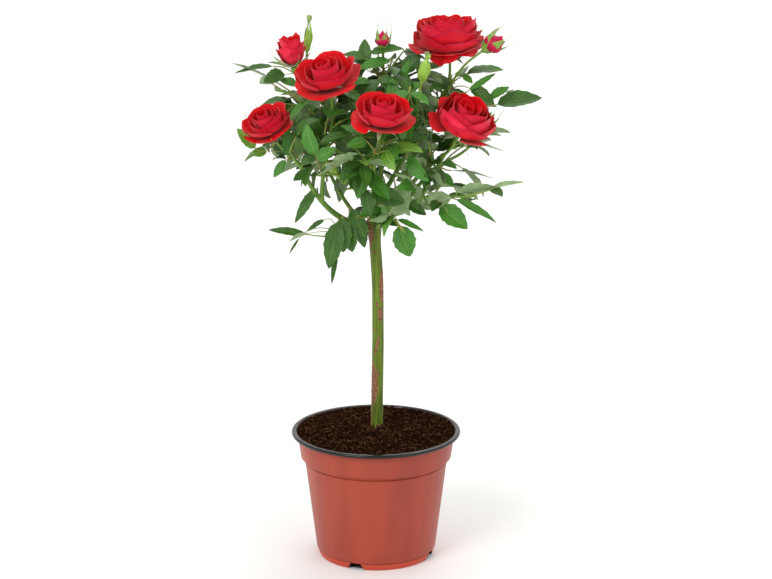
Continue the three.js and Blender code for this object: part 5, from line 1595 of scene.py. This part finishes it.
def draw_flowers():
    """Petals in one pile, and sepals and hips in the other"""
    red, green = Pile(), Pile()
    for number, flower in enumerate(FLOWERS):
        kind = flower["kind"]
        half = flower["width"] / 2
        rings, outer, waves = MAKES[OWN_MAKES.get(flower["name"], kind)]
        petals(red, flower, rings, outer, waves, PETAL_SEED + number, 3 if kind == "bud" else 2)
        calyx = OWN_SEPALS.get(flower["name"], kind)
        long, wide, lean, end, thread, radius, height = SEPALS[calyx]
        scale = half / BUD_HALF if kind == "bud" else 1
        rng = np.random.default_rng(SEPAL_SEED + number)
        blades = []
        for i in range(SEPAL_COUNT):
            shake = rng.uniform(-SEPAL_SHAKE, SEPAL_SHAKE, 3)
            blades.append((number + i * 2 * math.pi / SEPAL_COUNT + shake[0], radius, height,
                           long * (1 + shake[1]) * scale, wide * scale,
                           lean + shake[2] / 2, end + shake[2], thread * (1 + 4 * shake[1])))
        young = 2 if calyx in YOUNG_CALYXES else 0
        sepal_blades(green, flower, blades, young)
        profile = ROSE_HIP
        if kind == "bud":
            profile = ((1, -2.6), (0.2 * half, -1.4), *((r * half, z * half) for r, z in BUD_HIP))
        hip(green, flower, profile, young)
    return red, green


# Trunk, boughs and stems

def bark_radii(lines, radii, sides, ridge, seed):
    """Radii round a limb with lengthwise ridges and low lumps on them: radius * (1 + ridge *
    (0.35 ridges + lumps)), where both are noise, and the ridges' is drawn out five times upwards"""
    places = lines[:, None] + ring_ways(lines[None], sides)[0] * BARK_REACH
    stretched = places * np.array((1, 1, 0.2))
    ridges = noise(stretched, 1.6, seed) * 0.6 + noise(stretched, 0.8, seed + 1) * 0.4
    lumps = noise(places, 9, seed + 2) * 0.7 + noise(places, 3.5, seed + 3) * 0.3
    return radii[:, None] * (1 + ridge * (0.35 * ridges + lumps))


def cork_cover(points, middle, heights):
    """How corky each point of the trunk is, from 0 to 1: inside any patch, with ragged edges"""
    off = points - middle[:, None]
    bearing = np.degrees(np.arctan2(off[..., 0], -off[..., 1]))
    ragged = noise(points * np.array((1, 1, 0.5)), 2.2, 77) * 0.5 + noise(points, 0.9, 78) * 0.3
    cover = np.zeros(bearing.shape)
    for z, half_height, place, half_width, drift in CORK_PATCHES:
        share = (heights[:, None] - z) / half_height
        gap = (bearing - (place + drift * share) + 180) % 360 - 180
        inside = 1 - np.sqrt(share ** 2 + (gap / half_width) ** 2)
        cover = np.maximum(cover, smoothstep(inside + 0.32 * ragged, 0.02, 0.28))
    return cover


def draw_trunk():
    """The trunk as one tube with low ridges, raised and rough where it is corky"""
    pile = Pile()
    t = np.linspace(0, 1, TRUNK_RINGS)
    line = trunk_curve(t)
    radii = bark_radii(line, trunk_radius(line[:, 2], t), TRUNK_SIDES, TRUNK_RIDGE, TRUNK_SEED)
    surface = line[:, None] + ring_ways(line[None], TRUNK_SIDES)[0] * radii[..., None]
    cork = cork_cover(surface, line, line[:, 2])
    rough = noise(surface, 1.1, 91) * 0.6 + noise(surface * np.array((1, 1, 2.2)), 0.6, 92) * 0.4
    radii = radii + cork * (CORK_HEIGHT + CORK_ROUGHNESS * rough)
    tubes(pile, line, radii[None], TRUNK_SIDES, values=cork.ravel())
    return pile


def limb_lines(shoot):
    """The middle lines of a shoot's bough and of its stem past the bough's tip"""
    bough = shoot["bough_line"](np.linspace(0, 1, BOUGH_RINGS))
    stem = shoot["stem_line"](np.linspace(0, 1, STEM_RINGS))[1:]
    return bough, stem


def draw_limbs():
    """Boughs in one pile, and in the other the stems, flower stalks and twigs"""
    boughs, stems = Pile(), Pile()
    bearing = {f["shoot"]: f for f in FLOWERS if f["at"] is None}
    for shoot in SHOOT_MAP.values():
        number = shoot["number"]
        bough, stem = limb_lines(shoot)
        t = np.linspace(0, 1, len(bough))
        radii = shoot["base"] + (shoot["end"] - shoot["base"]) * t + BOUGH_FLARE * np.exp(-t * 14)
        radii = bark_radii(bough, radii, BOUGH_SIDES, BOUGH_RIDGE, BOUGH_SEED + number)
        tubes(boughs, bough, radii[None], BOUGH_SIDES)
        start = bough[-1:]
        line = np.vstack((start - (stem[0] - start) * 0.2, stem))
        ends = np.linspace(shoot["end"], STEM_TIP_RADIUS, len(line))
        if shoot["name"] in bearing:
            face, foot = flower_foot(bearing[shoot["name"]])
            line = np.vstack((line, foot - face * np.array((STALK_LENGTH * 0.55, 2.5))[:, None]))
            ends = np.concatenate((ends, (1, 1.15)))
        else:
            ends[-3:] = STEM_POINT
        radii = bark_radii(line, ends, STEM_SIDES, STEM_RIDGE, STEM_SEED + number)
        tubes(stems, line, radii[None], STEM_SIDES)
    for flower in FLOWERS:
        if flower["at"] is not None:
            face, foot = flower_foot(flower)
            twig = SHOOT_MAP[flower["shoot"]]["twigs"][flower["name"]](np.linspace(0, 1, BOUGH_RINGS))
            line = np.vstack((twig, foot - face * np.array((STALK_LENGTH * 0.55, 2))[:, None]))
            tubes(stems, line, np.full(len(line), FLOWER_TWIG_RADIUS), 8)
    lines = np.array([line(np.linspace(0, 1, TWIG_RINGS)) for line in TWIGS])
    tubes(stems, lines, np.linspace(*TWIG_RADII, TWIG_RINGS), 7)
    return boughs, stems


def draw_prickles():
    """Prickles: small hooked cones on stems and boughs, placed by chance along and round them"""
    pile = Pile()
    curves = [shoot[key] for shoot in SHOOT_MAP.values() for key in ("bough_line", "stem_line")] + TWIGS
    rng = np.random.default_rng(PRICKLE_SEED)
    out, back, radii = np.array(PRICKLE_PROFILE).T
    for i in range(PRICKLES):
        curve = curves[rng.integers(len(curves))]
        t = rng.uniform(0.1, 0.9)
        along = tangent(curve, t)
        across = turned(sideways(along), along, rng.uniform(0, 2 * math.pi))
        long = rng.uniform(*PRICKLE_LENGTH)
        root = curve(t) + across * PRICKLE_ROOT
        line = root + across * out[:, None] * long - along * back[:, None] * long
        tubes(pile, line, radii * long / PRICKLE_USUAL, 5)
    return pile


# Pot and peat

def pot_profile():
    """From the middle of the underside out and up the outside, over the rolled rim, and
    down the inside to the floor. Amounts under 1 mm round the corners off. The second list
    says red (0) or black (1) for each stretch."""
    bead = []
    for step in range(RIM_STEPS + 1):
        angle = math.pi * (RIM_START + RIM_SWEEP * step / RIM_STEPS)
        x, z = (math.copysign(abs(part) ** RIM_SQUARE, part) for part in (math.cos(angle), math.sin(angle)))
        bead.append((RIM_RADIUS - RIM_WIDTH / 2 * (1 - x), POT_HEIGHT - RIM_DEPTH / 2 * (1 - z)))
    outside = [(2, 0), (FOOT_RADIUS - 0.6, 0), (FOOT_RADIUS, 0.5), (BAND_TOP_RADIUS, BAND_TOP_Z - 0.5),
               (BAND_TOP_RADIUS - 0.2, BAND_TOP_Z - 0.1), (BAND_TOP_RADIUS - 0.7, BAND_TOP_Z + 0.3),
               (BODY_FOOT_RADIUS - 0.1, BODY_FOOT_Z), (BODY_FOOT_RADIUS + 0.15, BODY_FOOT_Z + 0.6)]
    low, high = outside[-1], (BODY_TOP_RADIUS, BODY_TOP_Z - 0.8)
    body = [(low[0] + (high[0] - low[0]) * i / BODY_STEPS, low[1] + (high[1] - low[1]) * i / BODY_STEPS)
            for i in range(1, BODY_STEPS + 1)]
    collar = [(BODY_TOP_RADIUS - 0.7, BODY_TOP_Z - 0.1), (BODY_TOP_RADIUS + 0.5, BODY_TOP_Z + 0.4),
              (COLLAR_FOOT_RADIUS - 0.7, COLLAR_FOOT_Z - 0.6),
              (COLLAR_FOOT_RADIUS, COLLAR_FOOT_Z + 0.2), (COLLAR_FOOT_RADIUS + 0.5, COLLAR_FOOT_Z + 4),
              (COLLAR_TOP_RADIUS - 0.3, POT_HEIGHT - 7), (COLLAR_TOP_RADIUS, POT_HEIGHT - RIM_DEPTH + 0.3)]
    inside = [(COLLAR_TOP_RADIUS - WALL, POT_HEIGHT - RIM_DEPTH - 0.6),
              (COLLAR_FOOT_RADIUS - WALL, COLLAR_FOOT_Z + 0.4),
              (BODY_TOP_RADIUS - WALL, BODY_TOP_Z + 0.4), (BODY_FOOT_RADIUS - WALL, BODY_FOOT_Z),
              (FOOT_RADIUS - WALL, FLOOR), (2, FLOOR)]
    profile = outside + body + collar + bead + inside
    red = len(outside) + len(body) + len(collar) - 1
    return profile, [0] * red + [1] * (len(profile) - 1 - red)


def draw_pot(materials):
    """The pot's wall, with drain notches cut through the foot band"""
    pile = Pile()
    profile, kinds = pot_profile()
    stretches_round = grid_faces(len(profile), POT_SEGMENTS).reshape(len(profile) - 1, POT_SEGMENTS, 4)
    maps = surface_map(np.arange(POT_SEGMENTS) / POT_SEGMENTS, np.linspace(0, 1, len(profile)))
    pile.add(lathe(profile, POT_SEGMENTS).reshape(-1, 3),
             [*stretches_round, *end_faces(len(profile), POT_SEGMENTS)], maps,
             kinds=[*kinds, kinds[0], kinds[-1]])
    pot = pile.piece("pot_shell", "pot", ["pot"], materials, 32)
    cutter = Pile()
    for i in range(NOTCH_COUNT):
        angle = math.radians(NOTCH_FIRST_DEG + 360 / NOTCH_COUNT * i)
        out = np.array((math.cos(angle), math.sin(angle), 0))
        side = np.array((-math.sin(angle), math.cos(angle), 0))
        corners = [out * r + side * s * w / 2 + np.array((0, 0, z))
                   for r in (NOTCH_INNER_RADIUS, NOTCH_OUTER_RADIUS)
                   for z, w, s in ((-1, NOTCH_FOOT_WIDTH, -1), (-1, NOTCH_FOOT_WIDTH, 1),
                                   (NOTCH_HEIGHT, NOTCH_TOP_WIDTH, 1), (NOTCH_HEIGHT, NOTCH_TOP_WIDTH, -1))]
        box = np.array(((0, 1, 2, 3), (7, 6, 5, 4), (0, 4, 5, 1), (1, 5, 6, 2), (2, 6, 7, 3), (3, 7, 4, 0)))
        cutter.add(np.array(corners), [box], kinds=[1])
    tool = cutter.piece("notch_cutter", "pot", [], materials)
    cut = pot.modifiers.new("notches", "BOOLEAN")
    cut.operation = "DIFFERENCE"
    cut.solver = "EXACT"
    cut.object = tool
    bpy.context.view_layer.objects.active = pot
    bpy.ops.object.modifier_apply(modifier=cut.name)
    bpy.data.objects.remove(tool)
    return pot


def peat_height(x, y):
    """The peat's top: it rises from the wall to the stem, a little more on one side, in lumps,
    and its edge is drawn up against the rim"""
    r = np.hypot(x, y)
    edge = COLLAR_TOP_RADIUS - WALL
    share = np.clip((edge - r) / (edge - PEAT_FLAT_RADIUS), 0, 1)
    bearing = math.radians(PEAT_TILT_DEG)
    tilt = PEAT_TILT * (x * math.cos(bearing) + y * math.sin(bearing)) / edge
    height = PEAT_EDGE_Z + (PEAT_TOP_Z - PEAT_EDGE_Z) * share ** PEAT_SLOPE_POWER - tilt * (1 - share)
    points = np.stack((x, y, np.zeros_like(x)), -1)
    lumps = sum(size * noise(points, step, 30 + i) for i, (step, size) in enumerate(PEAT_LUMPS))
    lip = smoothstep(r, PEAT_LIP_RADIUS - PEAT_LIP_RUN, PEAT_LIP_RADIUS)
    return (height + lumps * smoothstep(edge - r, 0, 3)) * (1 - lip) + PEAT_LIP_Z * lip


def crumb_ball():
    """The twelve corners of an icosahedron on a unit sphere, and its faces turned outwards:
    three corners make a face where all of them are neighbours"""
    phi = (1 + math.sqrt(5)) / 2
    signs = [(a, b * phi) for a in (-1, 1) for b in (-1, 1)]
    ball = unit(np.array([(0, a, b) for a, b in signs] + [(a, b, 0) for a, b in signs]
                         + [(b, 0, a) for a, b in signs]))
    near = np.linalg.norm(ball[:, None] - ball[None], axis=-1)
    faces = [(i, j, k) if np.linalg.det(ball[[i, j, k]]) > 0 else (i, k, j)
             for i in range(12) for j in range(i + 1, 12) for k in range(j + 1, 12)
             if max(near[i, j], near[j, k], near[i, k]) < NEIGHBOURS_WITHIN]
    return ball, np.array(faces)


def draw_crumbs(rng, edge):
    """Crumbs of peat: squashed balls strewn over the top, heaped at the stem's foot, and thick
    against the rim"""
    crumbs = Pile()
    r = edge * np.sqrt(rng.uniform(0.006, 0.985, CRUMBS))
    heaped = np.arange(CRUMBS) < HEAPED_CRUMBS
    r[heaped] = TRUNK_FOOT_RADIUS + FLARE + HEAP_RUN * rng.uniform(0, 1, HEAPED_CRUMBS) ** 2
    r[-EDGE_CRUMBS:] = PEAT_LIP_RADIUS - EDGE_RUN * rng.uniform(0, 1, EDGE_CRUMBS) ** 1.5
    turn = rng.uniform(0, 2 * math.pi, CRUMBS)
    size = CRUMB_LEAST + CRUMB_SPREAD * rng.uniform(0, 1, CRUMBS) ** 4 + CRUMB_LEAST * heaped
    x, y = TRUNK_LEAN[0][0] * heaped + r * np.cos(turn), r * np.sin(turn)
    heap = heaped * np.clip(HEAP_RADIUS - r, 0, None) * HEAP_SLOPE * rng.uniform(0, 1, CRUMBS) ** 2
    middle = np.stack((x, y, peat_height(x, y) + size * 0.25 + heap), -1)
    ball, faces = crumb_ball()
    shape = ball[None] * rng.uniform(0.55, 1.25, (CRUMBS, 12, 1)) * rng.uniform(0.6, 1.3, (CRUMBS, 1, 3))
    crumbs.add(middle[:, None] + shape * size[:, None, None], [faces])
    return crumbs


def draw_fibres(rng, edge):
    """Fibres of peat: thin bent threads that lie on the top and rise a little in the middle"""
    fibres = Pile()
    r = edge * np.sqrt(rng.uniform(0.01, 0.96, FIBRES))
    turn, way = rng.uniform(0, 2 * math.pi, (2, FIBRES))
    long = rng.uniform(*FIBRE_LENGTH, FIBRES)[:, None]
    steps = np.linspace(-0.5, 0.5, 6)
    bend = rng.uniform(-0.9, 0.9, FIBRES)[:, None] * steps ** 2 * long
    cos, sin = np.cos(way)[:, None], np.sin(way)[:, None]
    x = (r * np.cos(turn))[:, None] + cos * steps * long - sin * bend
    y = (r * np.sin(turn))[:, None] + sin * steps * long + cos * bend
    inside = np.minimum(1, (edge - 0.6) / np.hypot(x, y))
    x, y = x * inside, y * inside
    lift = rng.uniform(0, FIBRE_RISE, FIBRES)[:, None] * (1 - 4 * steps ** 2) + 0.25
    lines = np.stack((x, y, peat_height(x, y) + lift), -1)
    tubes(fibres, lines, rng.uniform(*FIBRE_RADII, FIBRES)[:, None] * np.ones(6), 4)
    return fibres


def draw_peat():
    """The peat's top as a polar grid that is drawn up to a lip against the rim and turns down
    inside the wall to a plain underside, with crumbs and fibres on it"""
    top = Pile()
    edge = COLLAR_TOP_RADIUS - WALL - 0.15
    radius = np.linspace(1, edge, PEAT_RINGS)[:, None]
    angle = even_angles(PEAT_SEGMENTS)[None]
    x, y = radius * np.cos(angle), radius * np.sin(angle)
    surface = np.stack((x, y, peat_height(x, y)), -1)
    rows = [surface[-1:] * np.array((share, share, 0)) + (0, 0, z)
            for share, z in ((PEAT_LIP_RADIUS / edge, PEAT_LIP_Z), (0.998, POT_HEIGHT - RIM_DEPTH - 0.8),
                             (0.985, PEAT_EDGE_Z - 10))]
    points = np.concatenate((surface, *rows)).reshape(-1, 3)
    count = PEAT_RINGS + len(rows)
    top.add(points, [grid_faces(count, PEAT_SEGMENTS)] + end_faces(count, PEAT_SEGMENTS))
    rng = np.random.default_rng(PEAT_SEED)
    crumbs = draw_crumbs(rng, edge)
    return top, crumbs, draw_fibres(rng, edge)


# The pieces

NODES = list(frame["nodes"])
BOUGH_NODES = [name for name in NODES if name.startswith("bough_")]
MASS_NODES = [name for name in NODES if name.startswith("leaves_")]
FLOWER_NODES = [flower["name"] for flower in FLOWERS]

# Polypropylene sheet, drawn over a mould while hot: a satin skin in soft upright streaks
POT_RED = pot_finish("terracotta_polypropylene", "#A64430", "#943C2E", "#BC4830", 0.4)
# The sheet's black back, which shows at the rolled rim: smooth, with sharp narrow glints
POT_BLACK = plain("black_polypropylene", "#0A080A", 0.14)
# Moist peat: rough and matt, nearly black between its crumbs: partly the wet peat's own dark
# and partly painted shade for the hollows there. Its grains are under 0.5 mm, so they are
# drawn as spots of 1.4 mm.
PEAT = plain("moist_peat", "#060200", 0.95, "#28160C", 1.4 * MM, 0)
# Crumbs of peat that have dried a little: browner and as matt, each in a tone of its own
CRUMB = plain("peat_crumb", "#140804", 0.95, "#523626", 2.4 * MM, 0)
# Plant fibres in the peat: pale brown threads that change their tone every 6 mm
FIBRE = plain("peat_fibre", "#5A3824", 0.9, "#8A6044", 6 * MM, 0.1)
# Young bark on stems and boughs: smooth and waxy, with paler patches of 4 mm that are a painted soft gloss
STEM = plain("green_rose_stem", "#648C2C", 0.45, "#7C9E3A")
BOUGH = plain("green_rose_bough", "#557C28", 0.5, "#6E9034")
# Prickles: woody and smooth, reddish to straw from one to the next, so spots of 10 mm
PRICKLE = plain("rose_prickle", "#9A4A38", 0.45, "#B0764A", 10 * MM)
# Leaf stalks: smooth, green and tinged with red in stretches of 12 mm where the sun falls
STALK = plain("rose_leaf_stalk", "#7C9C3E", 0.5, "#9A8A48", 12 * MM)
# Leaves: a waxy upper side with a soft gloss, mottled in patches of 9 mm. The side veins of a
# real leaflet lie about 3 mm apart, and are drawn 4 mm apart to show.
LEAF_DEEP = leaf_finish("rose_leaf_deep", "#567C36", "#2E5414", "#38661C", 0.4)
LEAF_MID = leaf_finish("rose_leaf_mid", "#6A9A44", "#38701C", "#448226", 0.4)
LEAF_YOUNG = leaf_finish("rose_leaf_young", "#94BA54", "#54882A", "#689A32", 0.38)
# The underside of a leaf: paler, greyer and without wax, so it looks matt
LEAF_UNDER = plain("rose_leaf_underside", "#809A68", 0.6, "#94AC7C", 6 * MM)
# Petals: velvety, which gives a deep red, a faint sheen at the edges and hardly a highlight.
# Each is painted darker at its foot, as shade for the depth of the flower, and the inside's
# thin rim is painted a little lighter as a highlight. Outsides are duller or pinker, most of
# all in the heart and on buds.
PETAL_IN = petal_finish("rose_petal_inside", "#7C0004", "#D6000E", "#DC0C1C")
PETAL_OUT = petal_finish("rose_petal_outside", "#9C0610", "#CE0E24", "#BE1034")
PETAL_HEART = petal_finish("rose_heart_petal_outside", "#A60618", "#E02644", "#D81C3A")
PETAL_BUD = petal_finish("rose_bud_petal_outside", "#8A0A30", "#B81242", "#C41444")
# Sepals: fleshy and smooth, yellower when young. Their inner side is downy, pale and matt.
SEPAL = plain("rose_sepal", "#6E9A38", 0.5, "#88AE4C", 3 * MM)
SEPAL_YOUNG = plain("young_rose_sepal", "#86B43C", 0.45, "#9CC450", 3 * MM)
SEPAL_INNER = plain("rose_sepal_inner_side", "#B4C49A", 0.7, "#A3B884", 3 * MM)
# Green bark of the trunk: smooth, with a soft gloss and lengthwise streaks. Cork has burst
# through it in rough brown patches.
BARK = bark_finish("green_rose_bark")


def build():
    draw_pot([POT_RED, POT_BLACK])
    top, crumbs, fibres = draw_peat()
    top.piece("peat_surface", "peat", ["peat"], [PEAT])
    crumbs.piece("peat_crumbs", "peat", [], [CRUMB], 30)
    fibres.piece("peat_fibres", "peat", [], [FIBRE])
    draw_trunk().piece("trunk_bark", "bark", ["trunk"], [BARK], 80)
    boughs, stems = draw_limbs()
    boughs.piece("bough_bark", "shoot", BOUGH_NODES, [BOUGH], 80)
    stems.piece("stems_and_twigs", "shoot", [], [STEM], 80)
    draw_prickles().piece("prickles", "shoot", [], [PRICKLE])
    piles, stalks = draw_leaves()
    stalks.piece("leaf_stalks", "shoot", [], [STALK], 80)
    piles[0].piece("foliage_deep", "leaf", MASS_NODES, [LEAF_DEEP, LEAF_UNDER])
    piles[1].piece("foliage_mid", "leaf", [], [LEAF_MID, LEAF_UNDER])
    piles[2].piece("foliage_young", "leaf", [], [LEAF_YOUNG, LEAF_UNDER])
    red, green = draw_flowers()
    red.piece("petals", "petal", FLOWER_NODES, [PETAL_IN, PETAL_OUT, PETAL_HEART, PETAL_BUD], 60)
    green.piece("calyxes", "bud", [], [SEPAL, SEPAL_INNER, SEPAL_YOUNG], 60)


def stage():
    """A plain pale floor that rises behind, soft lights from both sides, and the camera"""
    mesh = bpy.data.meshes.new("floor")
    bend = [(FLOOR_BACK + FLOOR_BEND * math.sin(angle), FLOOR_BEND - FLOOR_BEND * math.cos(angle))
            for angle in np.linspace(0, math.pi / 2, 40)]
    profile = [(FLOOR_FRONT, 0), *bend, (FLOOR_BACK + FLOOR_BEND, FLOOR_TOP)]
    points = [(x, y, z) for y, z in profile for x in (-FLOOR_HALF, FLOOR_HALF)]
    faces = [(2 * i, 2 * i + 1, 2 * i + 3, 2 * i + 2) for i in range(len(profile) - 1)]
    mesh.from_pydata(points, [], faces)
    mesh.polygons.foreach_set("use_smooth", [True] * len(faces))
    mesh.materials.append(plain("matt_white_floor", "#F4F4F2", 0.9))
    floor = bpy.data.objects.new("floor", mesh)
    bpy.context.scene.collection.objects.link(floor)
    for name, place, size, power, aim in LIGHTS:
        data = bpy.data.lights.new(name, "AREA")
        data.size = size
        data.energy = power
        lamp = bpy.data.objects.new(name, data)
        lamp.location = place
        way = np.array(aim) - np.array(place)
        flat = math.hypot(way[0], way[1])
        lamp.rotation_euler = (math.atan2(flat, -way[2]), 0, math.atan2(-way[0], way[1]))
        bpy.context.scene.collection.objects.link(lamp)
    world = bpy.data.worlds.new("studio")
    world.use_nodes = True
    world.node_tree.nodes["Background"].inputs["Color"].default_value = (1, 1, 1, 1)
    world.node_tree.nodes["Background"].inputs["Strength"].default_value = WORLD_STRENGTH
    bpy.context.scene.world = world
    bpy.context.scene.view_settings.view_transform = "Standard"
    camera = bpy.data.cameras.new("camera")
    camera.sensor_width = SENSOR
    camera.lens = FOCAL_PIXELS * SENSOR / PHOTO_SIZE[0]
    camera.clip_end = 50
    eye = bpy.data.objects.new("camera", camera)
    eye.location = np.array(CAMERA_PLACE) * MM
    eye.rotation_euler = (math.radians(90 - CAMERA_PITCH_DEG), 0, 0)
    bpy.context.scene.collection.objects.link(eye)
    bpy.context.scene.camera = eye


stage()
build()
